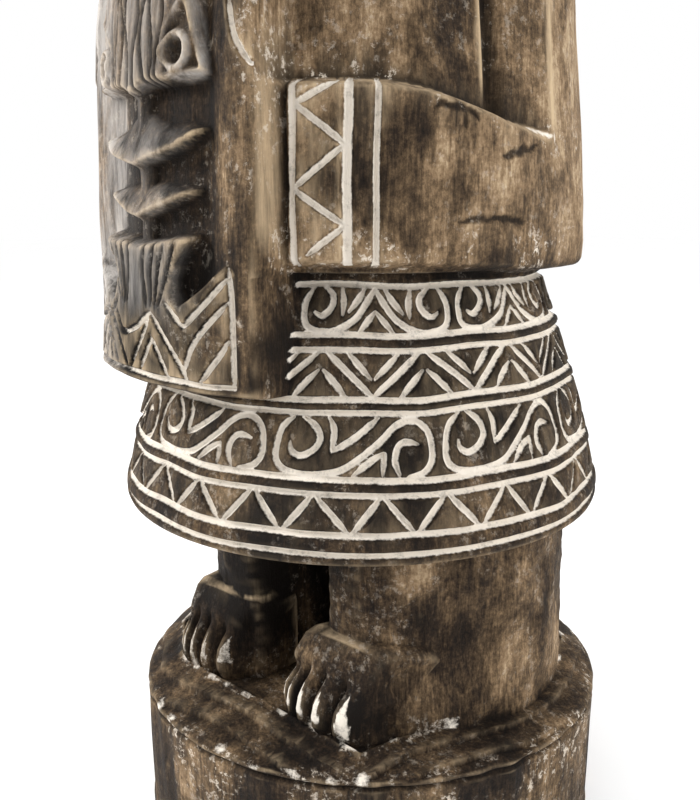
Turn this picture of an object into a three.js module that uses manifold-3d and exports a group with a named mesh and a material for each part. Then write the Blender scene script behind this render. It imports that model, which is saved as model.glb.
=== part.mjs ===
// A standing figure carved from one log: round base, feet and legs, flared skirt with four
// bands of ornament, folded arms, a mask shield held in front, and a plain head.
// Millimetres, +Z up. The figure faces -Y and its left side is +X. Angles are degrees
// round the figure's axis, 0 at the front and growing towards its left side.
import * as THREE from "three";
import { mergeVertices } from "three/addons/utils/BufferGeometryUtils.js";
import Module from "manifold-3d";

const wasm = await Module();
wasm.setup();

// Base
const BASE_RADIUS = 196;
const BASE_EDGE_Z = 113;
const BASE_TILT = 15;
const BASE_TILT_ANGLE = 50;
const BASE_SHOULDER_RADIUS = 170;
const BASE_TOP_Z = 135;
const BASE_SEGMENTS = 36;

// The figure stands a little off the middle of the base
const FIGURE_X = -6;
const FIGURE_Y = -6;

// Legs and feet, in a frame turned about the axis and shifted to the figure's left
const LEG_TURN = 9;
const LEG_SHIFT = 15;
const LEG_RADIUS = 171;
const LEG_HALF_WIDTH = 111;
const LEG_FRONT = 110;
const LEG_GAP = 36;
const LEG_GAP_DEPTH = 80;
const LEG_CORNER = 32;
const LEG_NOTCH = 30;
const FOOT_WIDTH = 84;
const FOOT_SHIFT = 7;
const FOOT_SIDE = 62;
const FOOT_TIP = 137;
const FOOT_LEAN = 0.4;
const FOOT_STEP = 5;
const ANKLE_Z = 199;
const TOE_Z = 160;
const TOES = 5;

// Skirt
const HEM_Z = 283;
const WAIST_Z = 453;
const HEM_RADIUS = 195;
const WAIST_RADIUS = 143;
const SKIRT_FLARE = 1.22;
const SKIRT_SEGMENTS = 28;
const RING_DEPTH = 4;
const RINGS = [[288, 304], [324, 337], [373, 385], [411, 424]];

// Ornament bands of the skirt: lower and upper line, repeats round the skirt, angle of one repeat
const ZIGZAG = { low: 305, high: 323, repeats: 27, start: 50.5 };
const BIG_SCROLL = { low: 338, high: 372, repeats: 10, start: 62.5 };
const CHEVRON = { low: 386, high: 410, repeats: 15, start: 61 };
const SMALL_SCROLL = { low: 425, high: 450, repeats: 9, start: 70 };
const GROOVE_WIDTH = 6;
const GROOVE_DEPTH = 3.5;

// Upper body and arms
const ARM_CREASE = 78;
const ARM_EDGE = 94;
const ARM_BACK = 150;
const TORSO_RADIUS = 157;
const ARM_TAPER = 0.13;
const ARM_RADIUS = 164;
const BODY_TAPER = 0.11;
const CREASE_DEPTH = 12;
const CREASE_WIDTH = 5;
const SPINE_DEPTH = 9;
const SHOULDER_ROUND = 62;
const SHOULDER_TOP_RADIUS = 54;
const SHOULDER_Z = 752;
const FOREARM_RADIUS = 176;
const FOREARM_LOW = 465;
const FOREARM_HIGH = 573;
const FOREARM_DROP = 29;
const FOREARM_INNER = 90;
const FOREARM_CORNER = 4;
const ELBOW_RADIUS = 168;
const ELBOW_ANGLE = 132;
const ARMBAND_LINES = [32.5, 43.7, 49.2];
const ARMBAND_WIDTH = 5;
const ARMBAND_DEPTH = 3;

// Shield
const SHIELD_HALF_ANGLE = 29;
const SHIELD_LOW = 384;
const SHIELD_HIGH = 700;
const SHIELD_RADIUS = 203;
const SHIELD_INNER = 120;
const POCKET_DEPTH = 13;

// Head
const NECK_RADIUS = 72;
const CHIN_Z = 770;
const HEAD_TOP_Z = 1030;
const HEAD_RADIUS = 94;
const HEAD_FULLNESS = 2.5;
const HEAD_SEGMENTS = 20;
const BAND_LOW = 940;
const BAND_HIGH = 962;
const BAND_RAISE = 4;
const HAIR_DEPTH = 3;
const EYE_Z = 888;
const EYE_ANGLE = 25;

// How far a cutter stands out of the surface it cuts
const PROUD = 2;

// Facets that lie flat within this distance of each other become one
const FLATNESS = 0.05;

const radians = THREE.MathUtils.degToRad;
const smooth = THREE.MathUtils.smoothstep;
const lerp = THREE.MathUtils.lerp;

// A point at an angle round the figure's axis
function roundPoint(angle, radius, z) {
  return new THREE.Vector3(radius * Math.sin(radians(angle)), -radius * Math.cos(radians(angle)), z);
}

// Evenly spaced values from first to last
function spaced(first, last, steps) {
  return Array.from({ length: steps + 1 }, (_, i) => lerp(first, last, i / steps));
}

// Closed geometry as a solid that can be joined and cut
function solid(geometry) {
  geometry.deleteAttribute("normal");
  geometry.deleteAttribute("uv");
  const merged = mergeVertices(geometry, 1e-4);
  const triVerts = new Uint32Array(merged.index.array);
  const vertProperties = merged.attributes.position.array;
  return new wasm.Manifold(new wasm.Mesh({ numProp: 3, vertProperties, triVerts }));
}

function join(solids) {
  return wasm.Manifold.union(solids);
}

// Six times the volume enclosed by indexed triangles, negative when they face inwards
function enclosed(points, index) {
  let sum = 0;
  for (let i = 0; i < index.length; i += 3) {
    const [a, b, c] = [points[index[i]], points[index[i + 1]], points[index[i + 2]]];
    sum += a.dot(new THREE.Vector3().crossVectors(b, c));
  }
  return sum;
}

// A skin through rings of equally many points, closed by a fan at each end
function loft(rings) {
  const count = rings[0].length;
  const points = rings.flat();
  const index = [];
  for (let level = 0; level + 1 < rings.length; level++) {
    for (let i = 0; i < count; i++) {
      const a = level * count + i;
      const b = level * count + ((i + 1) % count);
      index.push(a, b, a + count, b, b + count, a + count);
    }
  }
  for (const level of [0, rings.length - 1]) {
    const first = level * count;
    for (let i = 1; i + 1 < count; i++) {
      index.push(...(level === 0 ? [first, first + i + 1, first + i] : [first, first + i, first + i + 1]));
    }
  }
  if (enclosed(points, index) < 0) index.reverse();
  return solid(new THREE.BufferGeometry().setFromPoints(points).setIndex(index));
}

// A form turned about the upright axis, from a profile of [radius, height] pairs
function turned(profile, segments) {
  const points = profile.map(([radius, z]) => new THREE.Vector2(radius, z));
  return solid(new THREE.LatheGeometry(points, segments).rotateX(Math.PI / 2));
}

// A stack of closed rings whose radius depends on angle and height
function radialForm(angles, heights, radiusAt) {
  return loft(heights.map((z) => angles.map((angle) => roundPoint(angle, radiusAt(angle, z), z))));
}

// A slab wrapped round the axis: at each angle a section of [radius, height] pairs
function wrapped(angles, sectionAt) {
  return loft(angles.map((angle) => sectionAt(angle).map(([radius, z]) => roundPoint(angle, radius, z))));
}

// A slab section with cut corners on its outer side
function slabSection(inner, outer, low, high, corner) {
  return [
    [inner, low],
    [outer - corner, low],
    [outer, low + corner],
    [outer, high - corner],
    [outer - corner, high],
    [inner, high],
  ];
}

// A V groove that follows a path of [angle, height] pairs on a round surface, narrow at its ends
function groove(path, radiusAt, width = GROOVE_WIDTH, depth = GROOVE_DEPTH) {
  const points = path.map(([angle, z]) => roundPoint(angle, radiusAt(angle, z), z));
  const rings = points.map((point, i) => {
    const [angle, z] = path[i];
    const slope = radiusAt(angle, z + 1) - radiusAt(angle, z);
    const normal = roundPoint(angle, 1, -slope).normalize();
    const ahead = points[Math.min(i + 1, points.length - 1)];
    const behind = points[Math.max(i - 1, 0)];
    const side = new THREE.Vector3().subVectors(ahead, behind).cross(normal).normalize();
    const share = i === 0 || i === points.length - 1 ? 0.5 : 1;
    const half = (share * width * (depth + PROUD)) / (2 * depth);
    const rim = point.clone().addScaledVector(normal, PROUD);
    return [
      rim.clone().addScaledVector(side, half),
      point.clone().addScaledVector(normal, -depth * share),
      rim.clone().addScaledVector(side, -half),
    ];
  });
  return loft(rings);
}

// The strokes of one ornament, repeated round the skirt
// A stroke holds pairs of [share of the repeat, share of the height]
function ornament(band, strokes) {
  const turn = 360 / band.repeats;
  const cutters = [];
  for (let i = 0; i < band.repeats; i++) {
    for (const stroke of strokes) {
      const path = stroke.map(([u, v]) => [band.start + (i + u) * turn, lerp(band.low, band.high, v)]);
      cutters.push(groove(path, (angle, z) => skirtRadius(z)));
    }
  }
  return cutters;
}

const mirrored = (stroke) => stroke.map(([u, v]) => [-u, v]);

// Base: a short log whose hewn top edge tilts, with a chiselled slope up to the standing place
function base() {
  const angles = spaced(0, 360, BASE_SEGMENTS).slice(0, BASE_SEGMENTS);
  const edge = (angle) => BASE_EDGE_Z + BASE_TILT * Math.cos(radians(angle - BASE_TILT_ANGLE));
  return loft([
    angles.map((angle) => roundPoint(angle, BASE_RADIUS, 0)),
    angles.map((angle) => roundPoint(angle, BASE_RADIUS, edge(angle))),
    angles.map((angle) => roundPoint(angle, BASE_SHOULDER_RADIUS, BASE_TOP_Z)),
  ]);
}

// Legs: the log split by a gap in front and a shallow notch behind
function legs() {
  const half = LEG_GAP / 2;
  const outline = new THREE.Shape();
  outline.moveTo(0, -LEG_RADIUS + LEG_NOTCH);
  outline.lineTo(half, -LEG_RADIUS - PROUD);
  outline.lineTo(LEG_RADIUS + PROUD, -LEG_RADIUS - PROUD);
  outline.lineTo(LEG_RADIUS + PROUD, 0);
  outline.lineTo(LEG_HALF_WIDTH, LEG_FRONT - LEG_CORNER);
  outline.quadraticCurveTo(LEG_HALF_WIDTH - 4, LEG_FRONT, LEG_HALF_WIDTH - LEG_CORNER, LEG_FRONT);
  outline.lineTo(half + 16, LEG_FRONT);
  outline.quadraticCurveTo(half, LEG_FRONT - 4, half - 2, LEG_FRONT - LEG_GAP_DEPTH);
  const right = outline.getPoints(4);
  const left = right.slice(1).reverse().map((point) => new THREE.Vector2(-point.x, point.y));
  const low = BASE_TOP_Z - 12;
  const high = HEM_Z + 20;
  const settings = { depth: high - low, bevelEnabled: false };
  const prism = new THREE.ExtrudeGeometry(new THREE.Shape([...right, ...left]), settings).rotateZ(Math.PI);
  prism.translate(LEG_SHIFT, 0, low).rotateZ(radians(LEG_TURN));
  const log = [
    [0, low - PROUD],
    [LEG_RADIUS + 4, low - PROUD],
    [LEG_RADIUS, HEM_Z - 60],
    [LEG_RADIUS - 3, high + PROUD],
    [0, high + PROUD],
  ];
  return solid(prism).intersect(turned(log, SKIRT_SEGMENTS));
}

// One bare foot: a sloping instep with rounded toes in front; the left one steps forward and turns in
function foot(side) {
  const instep = new THREE.Shape();
  const heel = LEG_FRONT - 40;
  instep.moveTo(heel, BASE_TOP_Z - 8);
  instep.lineTo(FOOT_TIP - 8, BASE_TOP_Z - 8);
  instep.lineTo(FOOT_TIP - 6, TOE_Z - 6);
  instep.lineTo(LEG_FRONT + 11, TOE_Z + 16);
  instep.lineTo(LEG_FRONT - 2, ANKLE_Z);
  instep.lineTo(heel, ANKLE_Z + 4);
  const bevel = 8;
  const settings = {
    depth: FOOT_WIDTH - 2 * bevel,
    bevelEnabled: true,
    bevelSize: bevel - 2,
    bevelOffset: 2 - bevel,
    bevelThickness: bevel,
    bevelSegments: 2,
  };
  const upright = new THREE.ExtrudeGeometry(instep, settings).translate(0, 0, bevel - FOOT_WIDTH / 2);
  upright.rotateX(Math.PI / 2).rotateZ(-Math.PI / 2);
  const pieces = [solid(upright)];
  const pitch = (FOOT_WIDTH - 4) / TOES;
  for (let i = 0; i < TOES; i++) {
    const toe = new THREE.SphereGeometry(1, 8, 6).scale(pitch * 0.55, 20, 15);
    const step = (i - (TOES - 1) / 2) * pitch;
    toe.translate(step, -FOOT_TIP + 12 + 0.006 * step * step, BASE_TOP_Z + 8);
    pieces.push(solid(toe));
  }
  const place = new THREE.Matrix4().makeRotationZ(radians(LEG_TURN));
  place.multiply(new THREE.Matrix4().makeTranslation(side * FOOT_SIDE + LEG_SHIFT - FOOT_SHIFT, 0, 0));
  if (side > 0) {
    place.multiply(new THREE.Matrix4().makeTranslation(FOOT_LEAN * LEG_FRONT, -FOOT_STEP, 0));
    place.multiply(new THREE.Matrix4().makeShear(0, 0, FOOT_LEAN, 0, 0, 0));
  }
  return join(pieces).transform(place.elements);
}

// Skirt radius at a height: a bell that flares to the hem
function skirtRadius(z) {
  const share = Math.max(0, (z - HEM_Z) / (WAIST_Z - HEM_Z));
  return HEM_RADIUS - (HEM_RADIUS - WAIST_RADIUS) * share ** SKIRT_FLARE;
}

// Skirt: the bell with a V groove between each two bands
function skirt() {
  const profile = [
    [0, HEM_Z + 4],
    [LEG_RADIUS - 12, HEM_Z + 4],
    [HEM_RADIUS - 5, HEM_Z - 1],
    [HEM_RADIUS, HEM_Z + 3],
  ];
  for (const [low, high] of RINGS) {
    const middle = (low + high) / 2;
    profile.push([skirtRadius(low), low]);
    profile.push([skirtRadius(middle) - RING_DEPTH, middle]);
    profile.push([skirtRadius(high), high]);
  }
  profile.push([WAIST_RADIUS - 1, WAIST_Z + 14], [0, WAIST_Z + 14]);
  return turned(profile, SKIRT_SEGMENTS);
}

// Carved bands of the skirt, from the hem up
function skirtOrnament() {
  const tooth = [[-0.46, 0.05], [0, 0.95], [0.46, 0.05]];
  const chevron = [[-0.47, 0.05], [0, 0.95], [0.47, 0.05]];
  const innerChevron = [[-0.22, 0.03], [0, 0.48], [0.22, 0.03]];
  const smallCurl = [[0.04, 0.9], [0.05, 0.3], [0.16, 0.02], [0.28, 0.2], [0.47, 0.95]];
  const smallHook = [[0.13, 0.92], [0.22, 0.62], [0.14, 0.36]];
  const run = [
    [0.06, 0.95], [0.04, 0.35], [0.18, 0.05], [0.55, 0.86], [0.74, 0.96], [0.91, 0.62], [0.86, 0.05],
  ];
  const upperHook = [[0.16, 0.95], [0.25, 0.62], [0.13, 0.42]];
  const lowerHook = [[0.66, 0.05], [0.64, 0.45], [0.77, 0.6]];
  const halves = [smallCurl, smallHook];
  return [
    ...ornament(ZIGZAG, [tooth]),
    ...ornament(CHEVRON, [chevron, innerChevron]),
    ...ornament(SMALL_SCROLL, [...halves, ...halves.map(mirrored)]),
    ...ornament(BIG_SCROLL, [run, upperHook, lowerHook]),
  ];
}

// Upper body radius: torso, upper arms standing out at the sides with a crease before and behind
// each, and the hollow of the spine
function bodyRadius(angle, z) {
  const turn = Math.abs(angle);
  const arm = smooth(turn, ARM_CREASE, ARM_EDGE) * (1 - smooth(turn, ARM_BACK - 12, ARM_BACK + 6));
  const before = 1 - Math.abs(turn - ARM_CREASE) / CREASE_WIDTH;
  const behind = 1 - Math.abs(turn - ARM_BACK) / (2 * CREASE_WIDTH);
  const crease = Math.max(0, before, behind);
  const torso = TORSO_RADIUS - BODY_TAPER * (z - FOREARM_HIGH);
  const side = ARM_RADIUS - ARM_TAPER * (z - FOREARM_HIGH);
  const under = 8 * (1 - smooth(z, FOREARM_LOW - 6, FOREARM_LOW + 14));
  const cuts = CREASE_DEPTH * crease + SPINE_DEPTH * smooth(turn, 170, 180) + under;
  const full = lerp(torso, side, arm) - cuts;
  const rise = THREE.MathUtils.clamp(1 - (SHOULDER_Z - z) / SHOULDER_ROUND, 0, 1);
  return lerp(SHOULDER_TOP_RADIUS, full, Math.sqrt(1 - rise ** 2.2));
}

function upperBody() {
  const crease = [ARM_CREASE - CREASE_WIDTH, ARM_CREASE, ARM_CREASE + CREASE_WIDTH];
  const half = [0, 22, 44, 62, ...crease, ARM_EDGE, 108, 124, 140, ARM_BACK, 160, 170];
  const angles = [...half, 180, ...half.slice(1).reverse().map((angle) => -angle)];
  const shoulder = [0, 14, 26, 38, 50, 57].map((step) => SHOULDER_Z - SHOULDER_ROUND + step);
  const heights = [FOREARM_LOW - 4, FOREARM_LOW + 12, FOREARM_HIGH, 640, ...shoulder, SHOULDER_Z];
  return radialForm(angles, heights, bodyRadius);
}

// Forearm: a thick slab from the elbow forward to the edge of the shield
function forearmTop(angle) {
  return FOREARM_HIGH - FOREARM_DROP * smooth(angle, 45, ELBOW_ANGLE - 30);
}

function forearm(side) {
  const angles = [18, 30, 42, 54, 66, 78, 89, 100, 112, 122, ELBOW_ANGLE];
  return wrapped(angles.map((angle) => side * angle), (signed) => {
    const angle = Math.abs(signed);
    const end = smooth(angle, ELBOW_ANGLE - 20, ELBOW_ANGLE);
    const low = FOREARM_LOW - 8 * smooth(angle, 50, 100) + 16 * end;
    const outer = lerp(FOREARM_RADIUS, ELBOW_RADIUS, smooth(angle, 60, ARM_EDGE)) - 14 * end;
    return slabSection(FOREARM_INNER, outer, low, forearmTop(angle), FOREARM_CORNER);
  });
}

// Armband: upright lines with a zigzag between the first two, plain lines on the right arm
function armband(side) {
  const low = FOREARM_LOW + 3;
  const high = FOREARM_HIGH - 3;
  const onArm = () => FOREARM_RADIUS;
  const upright = (line) => [[side * line, low - 6], [side * line, high + 6]];
  const cutters = ARMBAND_LINES.map((line) => groove(upright(line), onArm, ARMBAND_WIDTH, ARMBAND_DEPTH));
  const [first, second] = ARMBAND_LINES;
  const turns = [[second, 1], [first, 0.87], [second, 0.66], [first, 0.42], [second, 0.21], [first, 0.04]];
  for (let i = 0; i + 1 < turns.length && side > 0; i++) {
    const stroke = [turns[i], turns[i + 1]].map(([line, share]) => [side * line, lerp(low, high, share)]);
    cutters.push(groove(stroke, onArm, ARMBAND_WIDTH, ARMBAND_DEPTH));
  }
  return cutters;
}

// Shield: a plate bent round the front, arched at the top and leaning back
function shieldRadius(angle, z) {
  return SHIELD_RADIUS - 0.03 * (z - SHIELD_LOW) - 0.0005 * Math.max(0, z - 530) ** 2;
}

function shield() {
  const steps = spaced(-SHIELD_HALF_ANGLE, SHIELD_HALF_ANGLE, 8);
  return wrapped(steps, (angle) => {
    const top = SHIELD_HIGH - 34 * (Math.abs(angle) / SHIELD_HALF_ANGLE) ** 2.4;
    const levels = spaced(SHIELD_LOW + 5, top - 6, 3);
    const face = levels.map((z) => [shieldRadius(angle, z), z]);
    return [
      [SHIELD_INNER, SHIELD_LOW],
      [shieldRadius(angle, SHIELD_LOW) - 5, SHIELD_LOW],
      ...face,
      [shieldRadius(angle, top) - 6, top],
      [SHIELD_INNER, top],
    ];
  });
}

// A pocket sunk into the shield between a lower and an upper line over a range of angles
function pocket(first, last, lowAt, highAt) {
  const steps = spaced(first, last, 2);
  return wrapped(steps, (angle) => {
    const share = (angle - first) / (last - first);
    const low = lerp(lowAt[0], lowAt[1], share);
    const high = Math.max(low + 3, lerp(highAt[0], highAt[1], share));
    const floor = shieldRadius(angle, low) - POCKET_DEPTH;
    return [[floor, low + 2], [SHIELD_RADIUS + 8, low], [SHIELD_RADIUS + 8, high], [floor, high - 2]];
  });
}

// Mask of the shield: pockets above, between and below the lips, ringed eyes and a zigzag foot
function mask() {
  const cutters = [];
  for (const side of [-1, 1]) {
    cutters.push(pocket(side * 2.5, side * 18, [556, 551], [569, 565]));
    cutters.push(pocket(side * 1.8, side * 15.5, [508, 513], [526, 526]));
    cutters.push(pocket(side * 1.8, side * 14.5, [484, 488], [499, 501]));
    const eye = spaced(0, 330, 7).map((turn) => [
      14 - 3.6 * Math.cos(radians(turn)),
      587 + 11.5 * Math.sin(radians(turn)),
    ]);
    const strokes = [
      eye,
      [[20, 574], [16, 625], [9, 668]],
      [[15.5, 481], [11.5, 466], [4, 450]],
      [[0.5, 420], [4.6, 440]],
      [[5.2, 438], [9.4, 420]],
      [[10.4, 421], [22, 464]],
      [[10.4, 402], [21.5, 441]],
      [[24.4, 467], [24.4, 399]],
    ];
    for (const stroke of strokes) {
      cutters.push(groove(stroke.map(([angle, z]) => [side * angle, z]), shieldRadius, 5, 3));
    }
  }
  const foot = spaced(-SHIELD_HALF_ANGLE - 1, SHIELD_HALF_ANGLE + 1, 8).map((angle) => [angle, 394]);
  cutters.push(groove(foot, shieldRadius, 4, 2.5));
  return cutters;
}

// Head radius: a full egg with a flatter face, a raised headband and fluted hair above it
function headRadius(angle, z) {
  const share = THREE.MathUtils.clamp((2 * (z - CHIN_Z)) / (HEAD_TOP_Z - CHIN_Z) - 1, -1, 1);
  const egg = (1 - Math.abs(share) ** HEAD_FULLNESS) ** (1 / HEAD_FULLNESS);
  const front = smooth(Math.cos(radians(angle)), 0.2, 1);
  const jaw = 1 - 0.1 * smooth(-share, 0, 1);
  const band = z > BAND_LOW && z < BAND_HIGH ? BAND_RAISE : 0;
  const locks = z > BAND_HIGH ? HAIR_DEPTH * Math.cos((radians(angle) * HEAD_SEGMENTS) / 2) : 0;
  return Math.max(10, HEAD_RADIUS * egg * jaw * (1 - 0.05 * front) + band + locks);
}

// A flattened ball half sunk in the head: an eyelid, a brow, a lip or an ear
function faceBall(angle, z, width, depth, height) {
  const ball = new THREE.SphereGeometry(1, 8, 5).scale(width, depth, height).rotateZ(radians(angle));
  const place = roundPoint(angle, headRadius(angle, z) - 0.4 * depth, z);
  return solid(ball.translate(...place.toArray()));
}

// Nose: a wedge that widens and stands out towards its tip
function nose() {
  const section = (z, halfWidth, tipWidth, reach) => {
    const front = -headRadius(0, z);
    return [
      new THREE.Vector3(-halfWidth, front + 14, z),
      new THREE.Vector3(halfWidth, front + 14, z),
      new THREE.Vector3(tipWidth, front - reach, z),
      new THREE.Vector3(-tipWidth, front - reach, z),
    ];
  };
  const levels = [[910, 9, 6, 1], [880, 12, 7, 9], [852, 20, 13, 20], [843, 18, 11, 12]];
  return loft(levels.map((level) => section(...level)));
}

// Head with brows, closed eyes, nose, lips, ears, headband and fluted hair
function head() {
  const angles = spaced(0, 360, HEAD_SEGMENTS).slice(0, HEAD_SEGMENTS);
  const band = [BAND_LOW - 1, BAND_LOW + 1, BAND_HIGH - 1, BAND_HIGH + 1];
  const heights = [CHIN_Z + 2, 780, 800, 840, EYE_Z, ...band, 990, 1010, 1022, HEAD_TOP_Z - 2];
  const parts = [radialForm(angles, heights, headRadius), nose()];
  parts.push(faceBall(0, 822, 27, 11, 6), faceBall(0, 810, 23, 12, 7));
  for (const side of [-1, 1]) {
    parts.push(faceBall(side * EYE_ANGLE, EYE_Z, 19, 9, 8));
    parts.push(faceBall(side * EYE_ANGLE, EYE_Z + 22, 28, 12, 6));
    parts.push(faceBall(side * 92, EYE_Z - 14, 16, 11, 32));
  }
  return join(parts);
}

function neck() {
  const profile = [
    [0, SHOULDER_Z - 40],
    [NECK_RADIUS + 30, SHOULDER_Z - 40],
    [NECK_RADIUS + 6, SHOULDER_Z - 4],
    [NECK_RADIUS, SHOULDER_Z + 24],
    [NECK_RADIUS, CHIN_Z + 60],
    [0, CHIN_Z + 60],
  ];
  return turned(profile, HEAD_SEGMENTS);
}

// The whole carving: each form with its carved lines, joined into one piece
function carving() {
  const carvedSkirt = skirt().subtract(join(skirtOrnament()));
  const arms = [-1, 1].map((side) => forearm(side).subtract(join(armband(side))));
  const carvedShield = shield().subtract(join(mask()));
  const stand = [legs(), foot(-1), foot(1)];
  const figure = join([...stand, carvedSkirt, upperBody(), ...arms, carvedShield, neck(), head()]);
  const whole = join([base(), figure.translate([FIGURE_X, FIGURE_Y, 0])]);
  return whole.asOriginal().simplify(FLATNESS);
}

// A mesh for the finished solid
function named(name, body, material) {
  const { vertProperties, triVerts } = body.getMesh();
  const geometry = new THREE.BufferGeometry();
  geometry.setAttribute("position", new THREE.BufferAttribute(new Float32Array(vertProperties), 3));
  geometry.setIndex(new THREE.BufferAttribute(new Uint32Array(triVerts), 1));
  geometry.computeVertexNormals();
  const mesh = new THREE.Mesh(geometry, material);
  mesh.name = name;
  return mesh;
}

const stainedWood = new THREE.MeshStandardMaterial({ color: "#6f5b46", roughness: 0.75, metalness: 0 });

const group = new THREE.Group();
group.add(named("carved_figure", carving(), stainedWood));

export default group;
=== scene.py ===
"""A wooden figure carved from one log: base, feet, skirt, folded arms, mask shield and head."""
import math

import bpy
import numpy as np
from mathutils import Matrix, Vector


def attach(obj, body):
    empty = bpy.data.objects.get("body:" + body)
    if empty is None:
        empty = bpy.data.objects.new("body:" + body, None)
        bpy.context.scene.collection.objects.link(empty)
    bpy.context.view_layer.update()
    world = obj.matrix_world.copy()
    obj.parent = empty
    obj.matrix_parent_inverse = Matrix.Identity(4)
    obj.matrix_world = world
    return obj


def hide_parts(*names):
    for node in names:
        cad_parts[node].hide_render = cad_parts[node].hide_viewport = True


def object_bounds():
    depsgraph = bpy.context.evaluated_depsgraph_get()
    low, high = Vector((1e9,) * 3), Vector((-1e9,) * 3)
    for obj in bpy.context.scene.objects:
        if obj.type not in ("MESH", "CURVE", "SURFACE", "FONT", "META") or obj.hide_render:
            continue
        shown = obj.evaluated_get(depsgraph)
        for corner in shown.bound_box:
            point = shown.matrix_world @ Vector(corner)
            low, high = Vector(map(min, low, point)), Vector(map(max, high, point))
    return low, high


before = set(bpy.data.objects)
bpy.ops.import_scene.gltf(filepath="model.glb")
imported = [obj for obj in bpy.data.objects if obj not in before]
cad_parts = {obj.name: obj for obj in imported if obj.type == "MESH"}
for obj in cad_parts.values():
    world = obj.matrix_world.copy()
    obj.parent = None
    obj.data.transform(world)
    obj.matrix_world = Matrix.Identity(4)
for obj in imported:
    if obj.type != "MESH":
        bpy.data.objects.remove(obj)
cad_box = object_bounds()

# All sizes are millimetres, as in the part's source, and become metres when a mesh is made.
# Angles are degrees round the figure's axis, 0 at the front and growing to its left side.
METRE = 0.001

# Round surfaces are measured along an arc of this radius
MEAN_RADIUS = 170

# Base
BASE_RADIUS = 195.4
BASE_EDGE_Z = 113
BASE_TILT = 15
BASE_TILT_ANGLE = 50
BASE_TOP_Z = 135

# The figure stands a little off the middle of the base
FIGURE_X = -6
FIGURE_Y = -6

# Legs and feet, in a frame turned about the axis and shifted to the figure's left
LEG_TURN = 9
LEG_SHIFT = 15
LEG_RADIUS = 172
LEG_FRONT = 110
LEG_GAP = 36
LEG_CORNER = 133
LEG_MIDDLE = (72.0, -20.0)
LEG_SHARPNESS = 9
LEG_CORE_HALF_WIDTH = 62
LEG_CORE_HALF_DEPTH = 84
LEG_CORE_BACK = 52
CALF_Z = 246
CALF_REACH = 36
LEG_LOW = 123
LEG_HIGH = 300
FOOT_WIDTH = 84
FOOT_SIDE = 62
FOOT_SHIFT = 7
FOOT_MIDDLE_Z = 150
INSTEP_Z = 198
HEEL = 70
# Side view of a foot, from the leg over instep and toe tip to the sole: reach to the front, height
FOOT_REACH = (HEEL, 104, 111, 117, 124, 131, 136, 138, 137, 132, 118, HEEL)
FOOT_HEIGHT = (201, 201, 197, 187, 175, 166, 157, 147, 139, 128, 126, 126)
# Cuts between the toes as shares of the half width
TOE_EDGES = (-1, -0.72, -0.42, -0.05, 0.4, 1)

# Skirt
HEM_Z = 283
WAIST_Z = 453
HEM_RADIUS = 194.6
WAIST_RADIUS = 143
SKIRT_FLARE = 1.22
RING_LINES = (290, 302, 326, 335, 375, 383, 413, 422, 452)

# Upper body and arms
ARM_CREASE = 78
ARM_EDGE = 94.5
ARM_BACK = 150
TORSO_RADIUS = 157
ARM_HEIGHTS = (456, 465, 477, 506, 575, 640, 760)
ARM_RADII = (167, 170, 171, 170, 162, 156, 143)
CREASE_DEPTH = 9
CREASE_HALF_ANGLE = 3
SPINE_DEPTH = 9
BODY_TAPER = 0.11
SHOULDER_Z = 752
SHOULDER_ROUND = 62
SHOULDER_TOP_RADIUS = 54
FOREARM_RADIUS = 176
FOREARM_LOW = 465
FOREARM_HIGH = 573
FOREARM_DROP = 29
FOREARM_EDGE = 6
ELBOW_ANGLE = 132

# Shield
SHIELD_HALF_ANGLE = 29.6
SHIELD_LOW = 384
SHIELD_HIGH = 700
SHIELD_RADIUS = 203
SHIELD_LEAN = 0.03
SHIELD_BEND = 0.0005
SHIELD_BEND_Z = 530
SHIELD_ARCH = 34
SHIELD_EDGE = 7
SHIELD_FOOT_Z = 395
MASK_RELIEF = 14
MASK_BAR_HALF = 7
MASK_BAR_LOW = 470
MASK_BAR_HIGH = 575

# Neck and head
NECK_RADIUS = 72
CHIN_Z = 770
HEAD_TOP_Z = 1030
HEAD_RADIUS = 94
HEAD_FULLNESS = 2.5
BAND_LOW = 940
BAND_HIGH = 962
EYE_Z = 888
EYE_ANGLE = 25
NOSE_TOP = 914
NOSE_TIP = 852
NOSE_LOW = 840
UPPER_LIP_Z = 822
LOWER_LIP_Z = 809
EAR_ANGLE = 92
EAR_Z = 874
HAIR_LOCKS = 30

# Carved lines are V cuts filled with white lime
LINE_WIDTH = 6.2
LINE_DEPTH = 4.2

# Grid of the upper figure, closest where it is finely cut: where each stretch starts, and its step
ANGLE_STEPS = ((-180, 0.6), (-45, 0.4), (112, 0.6))
HEIGHT_STEPS = ((HEM_Z, 1.2), (461, 1.0), (474, 1.5), (690, 1.6), (745, 0.8), (778, 2.0), (1012, 0.8))

# Triangles of the finished skin, and the angle in degrees from which an edge is shaded sharp
TRIANGLES = 190000
SHARP_EDGE = 65

# Studio, in metres and watts: each lamp has a place, a size and a power
FLOOR_HALF = 12.0
FRONT_LAMP = ((-1.5, -1.7, 1.5), 0.8, 60)
RIGHT_LAMP = ((2.0, 0.6, 1.3), 0.8, 26)
LAMP_AIM = (0, 0, 0.45)
CAMERA_PLACE = (0.464, -0.4566, 0.501)
CAMERA_TILT = 76.41
CAMERA_TURN = 47
CAMERA_LENS = 36


def smooth(value, low, high):
    """0 at low, 1 at high, a cubic with level ends between them."""
    share = np.clip((value - low) / (high - low), 0.0, 1.0)
    return share * share * (3.0 - 2.0 * share)


def rounded(inside, edge):
    """Height share of a slab whose rim is a parabola, from the distance inside its outline."""
    share = np.clip(inside / edge, 0.0, 1.0)
    return 1.0 - (1.0 - share) ** 2


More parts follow.
